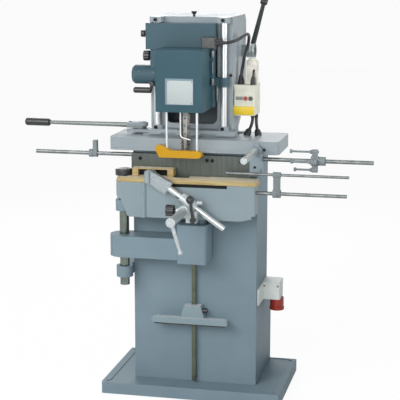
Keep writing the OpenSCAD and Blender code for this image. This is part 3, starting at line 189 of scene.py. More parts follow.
def enamel(kind, colour, pale, worn, roughness, lit_top=None):
    """Sprayed machine enamel: cloudy tone, orange peel, soft edges and a little wear along them.
    Faces that look up can be given a paler colour, as painted light from above."""
    material, tree, shader = finish(kind, colour, roughness, IOR=1.5, Specular_IOR_Level=0.18)
    spot = add(tree, "ShaderNodeTexCoord")
    # Spraying leaves clouds about 220 mm across, in tone and in gloss
    cloud = add(tree, "ShaderNodeTexNoise", {"Scale": 1 / (220 * mm), "Detail": 3.0, "Roughness": 0.55},
                {"Vector": (spot, "Object")})
    tone = add(tree, "ShaderNodeValToRGB", {"stops": ((0.3, colour), (0.72, pale))}, {"Fac": (cloud, "Fac")})
    haze = add(tree, "ShaderNodeMapRange", {"From Min": 0.35, "From Max": 0.7, "To Min": roughness - 0.06,
                                            "To Max": roughness + 0.08}, {"Value": (cloud, "Fac")})
    tree.links.new(haze.outputs["Result"], shader.inputs["Roughness"])
    # Orange peel is about 2 mm across, and drawn at 5 mm, as finer would not show
    peel = add(tree, "ShaderNodeTexNoise", {"Scale": 1 / (5 * mm), "Detail": 1.5},
               {"Vector": (spot, "Object")})
    soft_edge = soften(tree, shader, radius=2.5, relief=peel, strength=0.12, depth=0.6)
    # Along the rounded edges the coat is rubbed thin, in places about 8 mm long
    shape = add(tree, "ShaderNodeNewGeometry")
    turn = add(tree, "ShaderNodeVectorMath", {"operation": "DOT_PRODUCT"},
               {0: (soft_edge, "Normal"), 1: (shape, "Normal")})
    edge = add(tree, "ShaderNodeMapRange", {"From Min": 0.985, "From Max": 0.8, "To Min": 0.0, "To Max": 1.0},
               {"Value": (turn, "Value")})
    rub = add(tree, "ShaderNodeTexNoise", {"Scale": 1 / (8 * mm), "Detail": 5.0},
              {"Vector": (spot, "Object")})
    rubbed = add(tree, "ShaderNodeMapRange",
                 {"From Min": 0.42, "From Max": 0.66, "To Min": 0.0, "To Max": 0.75}, {"Value": (rub, "Fac")})
    thin = add(tree, "ShaderNodeMath", {"operation": "MULTIPLY"},
               {0: (edge, "Result"), 1: (rubbed, "Result")})
    coat = add(tree, "ShaderNodeMix", {"data_type": "RGBA", mix_to: linear(worn)},
               {0: (thin, "Value"), mix_from: (tone, "Color")})
    # Painted light: faces that look up are mixed towards the paler colour, as if lit from above
    if lit_top:
        axes = add(tree, "ShaderNodeSeparateXYZ", None, {0: (shape, "Normal")})
        upward = add(tree, "ShaderNodeMapRange",
                     {"From Min": 0.5, "From Max": 0.95, "To Min": 0.0, "To Max": 0.85},
                     {"Value": (axes, "Z")})
        coat = add(tree, "ShaderNodeMix", {"data_type": "RGBA", mix_to: linear(lit_top)},
                   {0: (upward, "Result"), mix_from: (coat, mix_out)})
    tree.links.new(coat.outputs[mix_out], shader.inputs["Base Color"])
    return material


def coat_nodes(material, *names):
    """Gives the CAD pieces of these names one material."""
    for name in names:
        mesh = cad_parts[name].data
        mesh.materials.clear()
        mesh.materials.append(material)


# Blue-grey enamel: a flat, slightly cloudy coat that is paler where edges are rubbed
blue_grey_enamel = enamel("blue_grey_enamel", "#7f939e", "#889ca6", "#b4c0c6", 0.56)
coat_nodes(blue_grey_enamel, "base_plate", "pedestal", "hinge_lugs", "knee")

# Bed, carriage and head frame: castings and folded plate, bolted and slid together.
# They have a paler grey enamel with more gloss than the pedestal's.

pale_grey_enamel = enamel("pale_grey_enamel", "#9ba6ac", "#a5afb4", "#cfd5d8", 0.45)
coat_nodes(pale_grey_enamel, "bed", "carriage", "head_frame")
# The table's frame, the end bracket and the door rest are a shade bluer, and the rest's top has painted light
# from above
table_enamel = enamel("table_enamel", "#8d9da4", "#96a6ac", "#c3ced2", 0.44)
coat_nodes(table_enamel, "table_frame", "end_bracket")
rest_enamel = enamel("rest_enamel", "#8c9fa6", "#95a8ae", "#d2dcdf", 0.44, lit_top="#dbe3e5")
coat_nodes(rest_enamel, "rest_shelf")

# Fence and its cap screws: a cast bar with a milled, chemically blackened face. Its
# black-oxide socket screws are sunk in counterbores.

forwards = (0, -1, 0)


def piece(name, work, material, body):
    """Turns a bmesh in the shared frame, in metres, into a smooth-shaded piece that rides on a body."""
    crease = math.radians(38)
    mesh = bpy.data.meshes.new(name)
    bmesh.ops.recalc_face_normals(work, faces=work.faces)
    for face in work.faces:
        face.smooth = True
    work.to_mesh(mesh)
    work.free()
    mesh.set_sharp_from_angle(angle=crease)
    mesh.materials.append(material)
    made = bpy.data.objects.new(name, mesh)
    scene.collection.objects.link(made)
    if body:
        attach(made, body)
    return made


def corners(node):
    """Lowest and highest corner of a CAD piece at rest, in millimetres."""
    low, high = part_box(node)
    return Vector(low) / mm, Vector(high) / mm


def turned(profile, foot, along, steps=40, ring=False):
    """Solid of revolution in millimetres: (radius, height) pairs about the line from foot along a direction.
    A ring's profile is a closed loop, so it has no end caps."""
    work = bmesh.new()
    along = Vector(along).normalized()
    side = along.orthogonal().normalized()
    up = along.cross(side)
    angles = [2 * math.pi * k / steps for k in range(steps)]
    rings = []
    for radius, height in profile:
        middle = Vector(foot) + along * height
        if radius == 0:
            rings.append([work.verts.new(middle * mm)])
        else:
            rings.append([work.verts.new((middle + radius * (math.cos(a) * side + math.sin(a) * up)) * mm)
                          for a in angles])
    for one, two in zip(rings, rings[1:] + (rings[:1] if ring else [])):
        for k in range(steps):
            n = (k + 1) % steps
            around = [one[k % len(one)], one[n % len(one)], two[n % len(two)], two[k % len(two)]]
            kept = list(dict.fromkeys(around))
            if len(kept) > 2:
                work.faces.new(kept)
    for end in () if ring else (rings[0], rings[-1]):
        if len(end) > 2:
            work.faces.new(end)
    return work


def joined(*parts):
    """One bmesh from several."""
    whole = parts[0]
    for part in parts[1:]:
        mesh = bpy.data.meshes.new("join")
        part.to_mesh(mesh)
        part.free()
        whole.from_mesh(mesh)
        bpy.data.meshes.remove(mesh)
    return whole


def socket_screw(foot, along, head, height):
    """Socket screw that stands on foot: a chamfered round head with a hexagon recess, in millimetres."""
    rim, recess = head * 0.27, head * 0.25
    outside = turned([(head / 2 - 0.2, 0), (head / 2, 0.3), (head / 2, height - 1), (head / 2 - 0.8, height),
                      (rim, height)], foot, along, steps=24)
    hexagon = turned([(rim, height), (recess, height - 0.5), (recess, height * 0.45), (0, height * 0.4)],
                     foot, along, steps=6)
    return joined(outside, hexagon)


def mottle(tree, shader, size, detail=4.0, tones=None, sheen=None):
    """Cloudy pattern of a size in millimetres. Tones are two (level, hex colour) stops for the base colour,
    and sheen is two levels and the roughness at each. Returns the pattern's node."""
    spot = add(tree, "ShaderNodeTexCoord")
    cloud = add(tree, "ShaderNodeTexNoise", {"Scale": 1 / (size * mm), "Detail": detail},
                {"Vector": (spot, "Object")})
    if tones:
        tone = add(tree, "ShaderNodeValToRGB", {"stops": tones}, {"Fac": (cloud, "Fac")})
        tree.links.new(tone.outputs["Color"], shader.inputs["Base Color"])
    if sheen:
        limits = dict(zip(("From Min", "From Max", "To Min", "To Max"), sheen))
        gloss = add(tree, "ShaderNodeMapRange", limits, {"Value": (cloud, "Fac")})
        tree.links.new(gloss.outputs["Result"], shader.inputs["Roughness"])
    return cloud


# Blackened cast iron: dull grey-black, streaked by the cutter. Its milling marks run across the bar,
# about 3 mm apart, drawn at 6 mm so that they show
blackened_iron, tree, shader = finish("blackened_cast_iron", "#555b57", 0.42, 0.35)
spot = add(tree, "ShaderNodeTexCoord")
lines = add(tree, "ShaderNodeMapping", {"Scale": (1 / (6 * mm), 6.0, 9.0)}, {"Vector": (spot, "Object")})
marks = add(tree, "ShaderNodeTexNoise", {"Scale": 1.0, "Detail": 3.0}, {"Vector": (lines, "Vector")})
tone = add(tree, "ShaderNodeValToRGB", {"stops": ((0.25, "#464c48"), (0.8, "#5d645f"))},
           {"Fac": (marks, "Fac")})
tree.links.new(tone.outputs["Color"], shader.inputs["Base Color"])
bump = add(tree, "ShaderNodeBump", {"Strength": 0.08, "Distance": 0.4 * mm}, {"Height": (marks, "Fac")})
tree.links.new(bump.outputs["Normal"], shader.inputs["Normal"])
coat_nodes(blackened_iron, "fence")

# Black oxide on steel: nearly black, with a patchy, slightly oily sheen
black_oxide, tree, shader = finish("black_oxide_steel", "#1d1f20", 0.42, 0.6)
mottle(tree, shader, 12, tones=((0.0, "#141516"), (1.0, "#33383a")))
fence_low, fence_high = corners("fence")
counterbore_face, fence_screw_z = fence_low.y + 8, fence_high.z - 20
fence_screws = joined(*[socket_screw((x, counterbore_face, fence_screw_z), forwards, head=13.4, height=7.4)
                        for x in (-214, 55, 76, 190)])
piece("fence_screws", fence_screws, black_oxide, "stand")

# Bars and rods: drawn steel, turned and ground bright, lightly oiled, and clamped in
# the castings. The hood's lugs, the guide bar and the sprocket have the same finish.

# Ground steel: a soft grey shine under a patchy oil film, in patches about 25 mm long
ground_steel, tree, shader = finish("ground_steel", "#989d9d", 0.34, 0.75)
mottle(tree, shader, 25, tones=((0.3, "#646969"), (0.7, "#8b9090")), sheen=(0.3, 0.7, 0.28, 0.42))
soften(tree, shader, radius=1)
coat_nodes(ground_steel, "stop_rods", "finger_rod", "stop_rail", "hood_lugs", "guide_bar", "sprocket")

# The rest rail, hinge post, side lever and forward bar are the same stock, browned, greyed or kept
# bright by handling, with stains about 40 mm long
for kind, dark, light, roughness, metallic, name in (
        ("browned_steel", "#3f473e", "#69725f", 0.45, 0.6, "rest_rail"),
        ("greyed_steel", "#5e6660", "#868e88", 0.24, 0.95, "hinge_post"),
        ("handled_steel", "#6d7371", "#969c9a", 0.45, 0.6, "side_lever"),
        ("bright_turned_steel", "#989fa1", "#b3b9bb", 0.36, 0.9, "forward_bar")):
    stock, tree, shader = finish(kind, light, roughness, metallic)
    mottle(tree, shader, 40, detail=5.0, tones=((0.0, dark), (1.0, light)))
    coat_nodes(stock, name)

# Columns and presser rods: hard-chromed round steel. The columns are clamped in the
# frame at both ends by black screws, and the head's two sleeves slide on them.

upwards = (0, 0, 1)

# Hard chrome: pale and bright, with a slight haze where felt and hands have wiped it
hard_chrome, tree, shader = finish("hard_chrome", "#cbced0", 0.38, 0.85)
mottle(tree, shader, 30, detail=3.0, sheen=(0.35, 0.7, 0.33, 0.43))
coat_nodes(hard_chrome, "columns", "presser_rods")

column_radius = 13
column_low, column_high = corners("columns")
column_places = (column_low.x + column_radius, column_high.x - column_radius)
column_axis_y = (column_low.y + column_high.y) / 2
upper_screw_y, upper_screw_z = -84.2, column_high.z - 11
lower_screw_y, lower_screw_z = -86.8, column_low.z + 15
column_screws = joined(*[socket_screw((x, upper_screw_y, upper_screw_z), forwards, head=14, height=7)
                         for x in column_places],
                       *[socket_screw((x, lower_screw_y, lower_screw_z), forwards, head=15, height=5)
                         for x in column_places])
piece("column_screws", column_screws, black_oxide, "carriage")

# Wiper rings of pressed sheet close the lower ends of the head's two sleeves
wiper_height = 3.2
sleeve_ends = (1235, 1237)
wiper = [(13.5, 0), (20, 0), (21, 0.8), (21, wiper_height), (13.5, wiper_height)]
wipers = joined(*[turned(wiper, (x, column_axis_y, z - wiper_height), upwards, ring=True)
                  for x, z in zip(column_places, sleeve_ends)])
piece("column_wipers", wipers, ground_steel, "head")

# Head casting, motor and chain hood: teal enamel in three shades. The hood is a folded
# sheet box that swings on two lugs, with a bare label plate riveted to its front.

teal_enamel = enamel("teal_enamel", "#445e69", "#4b6670", "#7f9aa3", 0.4)
coat_nodes(teal_enamel, "head_casting")
hood_enamel = enamel("hood_enamel", "#335460", "#3b5c67", "#6a8892", 0.38)
coat_nodes(hood_enamel, "chain_hood")
motor_enamel = enamel("motor_enamel", "#2c4450", "#344e5a", "#5b7480", 0.45)
coat_nodes(motor_enamel, "motor")


def slab(low, high, edge):
    """Block between two corners in millimetres, with rounded edges."""
    work = bmesh.new()
    bmesh.ops.create_cube(work, size=1.0)
    for v in work.verts:
        v.co = Vector([(l + h) / 2 + c * (h - l) for l, h, c in zip(low, high, v.co)]) * mm
    bmesh.ops.bevel(work, geom=list(work.edges), offset=edge * mm, segments=2, profile=0.5, affect="EDGES")
    return work


# Anodised aluminium sheet: pale and matt, brushed across. The lines are finer than a tenth of a
# millimetre, and drawn at 1.6 mm so that they show
label_sheet, tree, shader = finish("anodised_label_sheet", "#b8c1c1", 0.55, 0.1)
spot = add(tree, "ShaderNodeTexCoord")
grain = add(tree, "ShaderNodeMapping", {"Scale": (12.0, 12.0, 1 / (1.6 * mm))}, {"Vector": (spot, "Object")})
brush = add(tree, "ShaderNodeTexNoise", {"Scale": 1.0, "Detail": 2.0}, {"Vector": (grain, "Vector")})
tone = add(tree, "ShaderNodeValToRGB", {"stops": ((0.0, "#aab4b4"), (1.0, "#c3cbca"))},
           {"Fac": (brush, "Fac")})
tree.links.new(tone.outputs["Color"], shader.inputs["Base Color"])

# A blue-grey backing plate shows as a margin above and to the left of the sheet
backing = enamel("label_backing", "#7f95a0", "#879da7", "#b4c2c8", 0.4)
hood_front = corners("chain_hood")[0].y
margin = slab((-89, hood_front - 1.0, 1181), (21, hood_front + 0.1, 1281), edge=0.4)
piece("label_backing", margin, backing, "hood")
sheet_left, sheet_right, sheet_bottom, sheet_top = -81, 19.5, 1182.5, 1273
sheet_front, sheet_back = hood_front - 1.9, hood_front - 0.6
sheet = slab((sheet_left, sheet_front, sheet_bottom), (sheet_right, sheet_back, sheet_top), edge=0.4)
piece("label_plate", sheet, label_sheet, "hood")
rivet_inset = 4
rivet = [(2.2, 0), (2.0, 0.6), (1.2, 1.0), (0, 1.1)]
rivets = joined(*[turned(rivet, (x, sheet_front, z), forwards, steps=16)
                  for x in (sheet_left + rivet_inset, sheet_right - rivet_inset)
                  for z in (sheet_bottom + rivet_inset, sheet_top - rivet_inset)])
piece("label_rivets", rivets, ground_steel, "hood")

# Two dome-head screws hold the drum's end cover and its collar, a little above the drum's middle
drum_face_y, drum_screw_z, outward = -97.4, 1289.5, (0, -1, 0.33)
dome = [(4.2, -1), (4.2, 0.6), (3.4, 2.0), (1.8, 2.9), (0, 3.2)]
drum_screws = joined(*[turned(dome, (x, drum_face_y, drum_screw_z), outward, steps=20) for x in (-229, -170)])
piece("drum_screws", drum_screws, ground_steel, "head")

# Cutting set: riveted steel chain round the guide bar, a plated chip finger beside it,
# and a presser foot in yellow enamel, fixed to the lower ends of the presser rods.

# Oiled chain steel: a dark brown film, rubbed bright in spots about 10 mm apart
chain_steel, tree, shader = finish("oiled_chain_steel", "#4a4440", 0.4, 0.9)
mottle(tree, shader, 10, tones=((0.35, "#2c2825"), (0.7, "#7b756d")))
coat_nodes(chain_steel, "chain")
# Zinc plating: bright and slightly warm, duller in patches about 10 mm across
zinc_plate, tree, shader = finish("zinc_plated_rod", "#e3dedb", 0.3, 0.8)
mottle(tree, shader, 10, detail=3.0, sheen=(0.0, 1.0, 0.22, 0.45))
coat_nodes(zinc_plate, "chip_finger")
yellow_enamel = enamel("yellow_enamel", "#c9951b", "#d3a126", "#ecc970", 0.35)
coat_nodes(yellow_enamel, "presser_foot")

# Table top and clamp shoe: planed beech, oiled, with the grain along the board. The
# board lies on the table's frame, and black fills the slot under it as painted shade.

# Oiled beech: warm and satin, with straight grain. Growth rings are about 5 mm apart and run on for
# about 130 mm along the board
beech, tree, shader = finish("oiled_beech", "#cdb27c", 0.5, IOR=1.47)
spot = add(tree, "ShaderNodeTexCoord")
lie = add(tree, "ShaderNodeMapping", {"Scale": (1 / (130 * mm), 1 / (5 * mm), 1 / (6 * mm))},
          {"Vector": (spot, "Object")})
rings = add(tree, "ShaderNodeTexNoise", {"Scale": 1.0, "Detail": 4.0, "Distortion": 0.4},
            {"Vector": (lie, "Vector")})
tone = add(tree, "ShaderNodeValToRGB", {"stops": ((0.3, "#a38850"), (0.68, "#c8b684"))},
           {"Fac": (rings, "Fac")})
# Painted light: faces that look up are mixed towards a pale cream, as if lit from above
shape = add(tree, "ShaderNodeNewGeometry")
axes = add(tree, "ShaderNodeSeparateXYZ", None, {0: (shape, "Normal")})
upward = add(tree, "ShaderNodeMapRange", {"From Min": 0.6, "From Max": 0.95, "To Min": 0.0, "To Max": 0.9},
             {"Value": (axes, "Z")})
painted_top_light = add(tree, "ShaderNodeMix", {"data_type": "RGBA", mix_to: linear("#f2e8d0")},
               {0: (upward, "Result"), mix_from: (tone, "Color")})
tree.links.new(painted_top_light.outputs[mix_out], shader.inputs["Base Color"])
soften(tree, shader, radius=2.5, relief=rings, strength=0.2, depth=0.4)
coat_nodes(beech, "table_top", "clamp_shoe")

# The chain's relief is made smaller by a slip of the same wood, let in at its right end
board_low, board_high = corners("table_top")
slip = slab((-9, -205.6, board_low.z + 0.3), (65.6, board_high.y - 0.6, board_high.z - 0.7), edge=0.6)
piece("relief_slip", slip, beech, "table")

# Painted shade: a matt black sheet fills the slot under the board and the clamp shoe's hollow,
# where shade falls. Its faint mottle is drawn at 4 mm
shade_fill, tree, shader = finish("black_shade_fill", "#0d0e0e", 0.95)
mottle(tree, shader, 4, detail=3.0, tones=((0.0, "#080909"), (1.0, "#191b1b")))
strip = slab((-70, board_low.y + 3.5, board_low.z - 12), (150, board_low.y + 26, board_low.z - 0.4), edge=0.8)
piece("slot_shade_fill", strip, shade_fill, "table")
hollow_shade = slab((-209.5, -176.4, 894.5), (-93.5, -175.1, 919), edge=0.4)
piece("shoe_hollow_shade", hollow_shade, shade_fill, "clamp_shoe")

# Clamp and stops: pressure-cast zinc alloy, tumbled and left bare, pinned and clamped
# to turned bars. The stops slide on the rods and are phosphated.

# Tumbled zinc alloy: pale and dull, with a grain of about 7 mm from the tumbling stones
zinc_cast, tree, shader = finish("tumbled_zinc_casting", "#ccd2d4", 0.4, 0.5)
tumble = mottle(tree, shader, 7, tones=((0.3, "#a7b0b3"), (0.7, "#c4ccce")))
soften(tree, shader, radius=2, relief=tumble, strength=0.15, depth=0.4)
coat_nodes(zinc_cast, "clamp_quill", "cross_block", "clamp_lever")

# The clamp arm is a grained casting on a turned and polished bar, which starts at the casting's lower edge.
# The bar shines, and the casting is as dull as the others
arm_metal, tree, shader = finish("casting_on_turned_bar", "#b9c1c4", 0.4, 0.5)
bar_tilt, bar_start, seam = math.radians(34.7), -545.6 * mm, 1 * mm
spot = add(tree, "ShaderNodeTexCoord")
along = add(tree, "ShaderNodeVectorMath",
            {"operation": "DOT_PRODUCT", 1: (math.cos(bar_tilt), 0, -math.sin(bar_tilt))},
            {0: (spot, "Object")})
turned_part = add(tree, "ShaderNodeMapRange", {"From Min": bar_start - seam, "From Max": bar_start + seam},
                  {"Value": (along, "Value")})
tumble = add(tree, "ShaderNodeTexNoise", {"Scale": 1 / (7 * mm), "Detail": 4.0}, {"Vector": (spot, "Object")})
tone = add(tree, "ShaderNodeValToRGB", {"stops": ((0.3, "#8d979b"), (0.7, "#a5aeb2"))},
           {"Fac": (tumble, "Fac")})
skin = add(tree, "ShaderNodeMix", {"data_type": "RGBA", mix_to: linear("#b9bfc1")},
           {0: (turned_part, "Result"), mix_from: (tone, "Color")})
tree.links.new(skin.outputs[mix_out], shader.inputs["Base Color"])
for socket, cast_value, bar_value in (("Metallic", 0.4, 0.95), ("Roughness", 0.45, 0.26)):
    level = add(tree, "ShaderNodeMapRange", {"To Min": cast_value, "To Max": bar_value},
                {"Value": (turned_part, "Result")})
    tree.links.new(level.outputs["Result"], shader.inputs[socket])
soften(tree, shader, radius=2)
coat_nodes(arm_metal, "clamp_arm")

# Phosphated steel: a flat mid grey that is paler along the edges, much like a thin coat of enamel
phosphated = enamel("phosphated_steel", "#868f92", "#939c9f", "#b3babc", 0.5)
coat_nodes(phosphated, "stop_fork", "left_collar", "flip_stop", "turret_collar", "stop_turret")

# Knobs, grips and the feed lever: moulded black phenolic on steel levers. The feed
# lever is lacquered black, and its hub has a turned collar of zinc alloy.

# Moulded phenolic: deep black with a dull polish, glossier where hands rub it, in spots of about 15 mm
phenolic, tree, shader = finish("black_phenolic", "#151617", 0.32, IOR=1.6)
mottle(tree, shader, 15, tones=((0.0, "#0f1011"), (1.0, "#232527")), sheen=(0.35, 0.7, 0.24, 0.46))
soften(tree, shader, radius=1.5)
coat_nodes(phenolic, "feed_grip", "side_grip", "adjust_knob", "clamp_knob", "lock_lever", "bar_lock",
           "quill_knob", "oil_cup", "terminal_box", "post_cap", "start_button")
# Lacquer: a soft black coat, worn to grey along its edges
black_lacquer = enamel("black_lacquer", "#363c3b", "#414746", "#757b79", 0.4)
coat_nodes(black_lacquer, "feed_lever")

# The collar has two grooves and stands on the side of the frame
hub_foot, rightwards = (153.6, 155, 1360), (1, 0, 0)
collar = turned([(27.3, 0), (28, 0.7), (28, 9), (27, 9.6), (27, 11.4), (28, 12), (28, 20), (27, 20.6),
                 (27, 22.4), (28, 23), (28, 32.3), (27.3, 33)], hub_foot, rightwards, steps=48)
piece("feed_hub_collar", collar, zinc_cast, "feed_lever")

# Electrics: moulded ABS cases, screwed to the frame and the pedestal. A cream switch box
# with a yellow band, an ivory limit switch, and a white inlet housing with a red socket.


def moulded(kind, colour, dark, roughness):
    """Moulded plastic: even colour with faint soiling in patches of 30 mm, fine grain and rounded edges."""
    material, tree, shader = finish(kind, colour, roughness, IOR=1.53)
    mottle(tree, shader, 30, tones=((0.28, dark), (0.6, colour)))
    # The mould's grain is about 1 mm across, and drawn at 3 mm so that it shows
    spot = add(tree, "ShaderNodeTexCoord")
    grain = add(tree, "ShaderNodeTexNoise", {"Scale": 1 / (3 * mm), "Detail": 1.0},
                {"Vector": (spot, "Object")})
    soften(tree, shader, radius=2, relief=grain, strength=0.06, depth=0.3)
    return material


cream_abs = moulded("cream_abs", "#e6e7d7", "#d6d6c3", 0.45)
coat_nodes(cream_abs, "switch_box")
ivory_abs = moulded("ivory_abs", "#e8e5d9", "#d7d3c5", 0.45)
coat_nodes(ivory_abs, "limit_switch")
white_abs = moulded("white_abs", "#f1f6f3", "#e2e9e6", 0.5)
coat_nodes(white_abs, "inlet_box")
red_abs = moulded("red_abs", "#b0321f", "#95261a", 0.36)
coat_nodes(red_abs, "inlet_socket", "inlet_lid", "stop_button")

# Pressed-on sheets with rounded edges: a yellow band low on the box, a bare grey strip beside the buttons
switch_front = corners("switch_box")[0].y
yellow_sheet = moulded("yellow_sheet", "#f4d420", "#e8c516", 0.4)
band = slab((131.5, switch_front - 1.0, 1121), (216, switch_front + 0.4, 1155), edge=0.5)
piece("switch_band", band, yellow_sheet, "carriage")
grey_sheet = moulded("grey_sheet", "#8d918c", "#7b7f79", 0.45)
strip = slab((142, switch_front - 0.8, 1180), (170, switch_front + 0.4, 1193), edge=0.4)
piece("switch_strip", strip, grey_sheet, "carriage")

# Brass sheet round the limit switch's window: yellow metal, tarnished brown in spots of about 6 mm
brass, tree, shader = finish("brass_sheet", "#c9a545", 0.35, 0.85)
mottle(tree, shader, 6, tones=((0.0, "#a8862f"), (1.0, "#dcbf68")))
window = slab((185.5, 27.0, 1262), (198.5, 28.4, 1294), edge=0.5)
piece("limit_window", window, brass, "carriage")

# Cables: soft black PVC leads, held at both ends. One goes from the head's connector to
# the switch box, two leave it into the bed, and rubber boots close the openings.

cable_across, limit_lead_across = 12.3, 8.6


def lead(route, across, sides=20, fine=6):
    """Round tube on a smooth curve through the route's points, in millimetres."""
    points = [Vector(p) for p in route]
    ends = [2 * points[0] - points[1]] + points + [2 * points[-1] - points[-2]]
    path = []
    for i in range(1, len(ends) - 2):
        a, b, c, d = ends[i - 1:i + 3]
        for k in range(fine):
            t = k / fine
            path.append(0.5 * (2 * b + (c - a) * t + (2 * a - 5 * b + 4 * c - d) * t * t
                               + (3 * b - a - 3 * c + d) * t ** 3))
    path.append(points[-1])
    work = bmesh.new()
    side = None
    rings = []
    for i, p in enumerate(path):
        along = (path[min(i + 1, len(path) - 1)] - path[max(i - 1, 0)]).normalized()
        side = along.orthogonal() if side is None else side - along * side.dot(along)
        side.normalize()
        up = along.cross(side)
        rings.append([work.verts.new((p + across / 2 * (math.cos(a) * side + math.sin(a) * up)) * mm)
                      for a in (2 * math.pi * k / sides for k in range(sides))])
    for one, two in zip(rings, rings[1:]):
        for k in range(sides):
            work.faces.new((one[k], one[(k + 1) % sides], two[(k + 1) % sides], two[k]))
    work.faces.new(rings[0])
    work.faces.new(rings[-1])
    return work


# Extruded PVC: black and slightly chalky, with a faint mottle of about 8 mm from handling
pvc_sheath, tree, shader = finish("pvc_cable_sheath", "#191b1c", 0.5, IOR=1.52)
mottle(tree, shader, 8, tones=((0.0, "#121415"), (1.0, "#2a2d2e")), sheen=(0.3, 0.75, 0.38, 0.62))

motor_route = ((107, -118, 1409), (113, -118, 1409), (128, -115.5, 1411), (144, -108.5, 1414),
               (159.5, -94, 1419.5), (169.5, -76, 1425.5), (175, -60, 1430), (179.5, -39, 1434.5),
               (182.5, -17.5, 1437), (184, 0, 1436.5), (184, 21, 1431), (182, 39.5, 1419.5),
               (178, 52.5, 1403), (174, 58.5, 1387), (168, 60, 1366), (162.5, 55, 1345.5),
               (159.5, 49.5, 1329), (157.5, 42, 1309), (155.5, 35, 1288), (154.5, 30, 1271),
               (154, 27, 1257), (154, 27, 1250))
motor_lead = piece("motor_lead", lead(motor_route, cable_across), pvc_sheath, None)
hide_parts("motor_cable")
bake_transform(motor_lead)

switch_routes = (((199, 40, 1106), (199, 40, 1100), (198.5, 39, 1092), (197.5, 35.5, 1082),
                  (195.5, 30, 1072.5), (193, 23, 1064.5), (189.5, 12, 1055)),
                 ((214, 40, 1106), (214, 40, 1100), (214.5, 39, 1092), (215.5, 35.5, 1082),
                  (217.5, 30.5, 1072.5), (220, 23, 1064.5), (224, 12, 1055)))
for i, route in enumerate(switch_routes):
    switch_lead = piece(f"switch_lead_{i + 1}", lead(route, cable_across), pvc_sheath, None)
    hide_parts("switch_cables")
    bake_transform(switch_lead)

# The motor lead's boot is a cone with four ribs, each a little narrower than the one below
boot_depth, rib_pitch = 12, 5
boot = [(14.5, 0), (14.5, 3), (12.8, 4), (12.2, 13)]
for k in range(4):
    rib, groove, rise = 11.4 - 0.9 * k, 10.2 - 0.8 * k, rib_pitch * k
    boot += [(rib, 14 + rise), (rib, 17 + rise), (groove, 17.6 + rise)]
boot += [(7.0, 35), (6.6, 38)]
boot_foot = Vector(motor_route[-1]) - boot_depth * Vector(upwards)
piece("motor_lead_boot", turned(boot, boot_foot, upwards, steps=28), pvc_sheath, "carriage")

# Plain glands under the box, and domed grommets on the bed where the two leads go in
gland_depth, grommet_depth, downwards = 12.2, 36, (0, 0, -1)
gland = [(7.45, 0), (7.45, 10), (7.2, 13), (6.3, 16)]
glands = joined(*[turned(gland, Vector(route[0]) + gland_depth * Vector(upwards), downwards, steps=24)
                  for route in switch_routes])
piece("switch_lead_glands", glands, pvc_sheath, "carriage")
grommet = [(11.3, 0), (11.3, 10), (13.6, 12), (13.6, 28), (12.4, 31), (11.8, 36), (9, 40), (7, 44)]
grommets = []
for route in switch_routes:
    inward = (Vector(route[-1]) - Vector(route[-2])).normalized()
    grommets.append(turned(grommet, Vector(route[-1]) + grommet_depth * inward, -inward, steps=28))
piece("bed_grommets", joined(*grommets), pvc_sheath, "stand")

# The limit switch has a thinner lead of its own, in a plain boot on top of the box
limit_route = ((205, 10, 1237), (205, 10.2, 1250), (205, 12, 1264), (205, 16.5, 1277), (205, 23, 1288),
               (205, 28.5, 1294.5))
limit_lead = lead(limit_route, limit_lead_across)
limit_boot_foot = (205, 10, 1238)
limit_boot = turned([(11.4, 0), (11.4, 4), (10.2, 6), (9.4, 18), (7.6, 27), (5.2, 33)],
                    limit_boot_foot, upwards, steps=24)
piece("limit_lead", joined(limit_lead, limit_boot), pvc_sheath, "carriage")

# A black strip along the left edge of the box's lid is painted shade of the gap there
gap_shade = slab((132.8, switch_front - 0.7, 1158), (135.6, switch_front + 0.5, 1216), edge=0.3)
piece("lid_gap_shade", gap_shade, pvc_sheath, "carriage")

# Fastenings and covers: screws that show from the front, the door rest's black screw and the
# painted shade under its shelf, and a cast, enamelled cover that is screwed over the side lever's hub.

# Two pan heads on the inlet's front, and black socket screws on the bracket, the bed and the frame
inlet_face_y, inlet_screw_z = 3, 424
pan_head = [(4.4, -0.5), (4.4, 0.6), (3.4, 1.8), (1.5, 2.4), (0, 2.5)]
inlet_screws = joined(*[turned(pan_head, (x, inlet_face_y, inlet_screw_z), forwards, steps=20)
                        for x in (260.5, 315)])
piece("inlet_screws", inlet_screws, ground_steel, "stand")

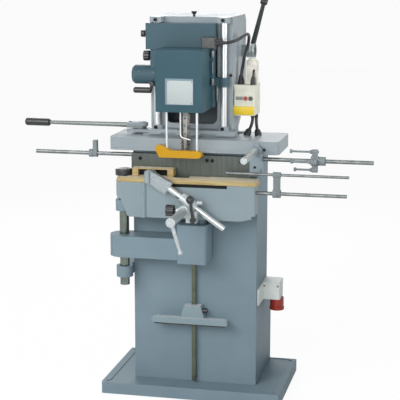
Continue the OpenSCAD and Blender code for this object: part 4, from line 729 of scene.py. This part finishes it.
bracket_screw_x, bracket_face_y = 249, -171
bracket_screws = joined(*[socket_screw((bracket_screw_x, bracket_face_y, z), forwards, head=10.4, height=7)
                          for z in (940, 915)])
piece("bracket_screws", bracket_screws, black_oxide, "stand")
for name, foot, head, height, body in (
        ("bed_screw", (282.5, -159.8, 1006), 11, 4, "stand"),
        ("frame_screw", (126.5, -39.8, 1278), 12, 7, "carriage")):
    piece(name, socket_screw(foot, forwards, head, height), black_oxide, body)

# The rest's clamp screw is black, and a black strip along the underside of its shelf is painted shade
shelf_screw_foot = (38, -154, 350)
shelf_screw = turned([(8.4, 0), (8.4, 19.4), (7.4, 20.6), (0, 20.6)], shelf_screw_foot, rightwards, steps=28)
shelf_underside_shade = slab((-152, -187.5, 295), (136, -172, 301.5), edge=1.2)
piece("rest_screw_and_shade", joined(shelf_screw, shelf_underside_shade), phenolic, "rest_shelf")

# The hub's cover has a round right end, so that it turns clear of the frame
cover_left, cover_middle, cover_foot, cover_height = -303, -239, 1064, 16.6
pivot_y, cover_half, cover_edge = -20, 22.5, 3
arc_steps, sharp_turn = 24, 0.7
outline = [(cover_left, pivot_y - cover_half), (cover_left, pivot_y + cover_half)]
outline += [(cover_middle + cover_half * math.sin(a), pivot_y + cover_half * math.cos(a))
            for a in (math.pi * k / arc_steps for k in range(arc_steps + 1))]
cover = bmesh.new()
underside = cover.faces.new([cover.verts.new(Vector((x, y, cover_foot)) * mm) for x, y in outline])
raised = bmesh.ops.extrude_face_region(cover, geom=[underside])["geom"]
bmesh.ops.translate(cover, verts=[v for v in raised if isinstance(v, bmesh.types.BMVert)],
                    vec=(0, 0, cover_height * mm))
bmesh.ops.recalc_face_normals(cover, faces=cover.faces)
bmesh.ops.bevel(cover, geom=[e for e in cover.edges if e.calc_face_angle() > sharp_turn],
                offset=cover_edge * mm, segments=3, profile=0.5, affect="EDGES")
piece("lever_cover", cover, pale_grey_enamel, "side_lever")
screw_rise = 16
cover_screws = joined(*[socket_screw((x, pivot_y, cover_foot + screw_rise), upwards, head=9, height=3)
                        for x in (-290, -228)])
piece("cover_screws", cover_screws, black_oxide, "side_lever")

bpy.context.view_layer.update()
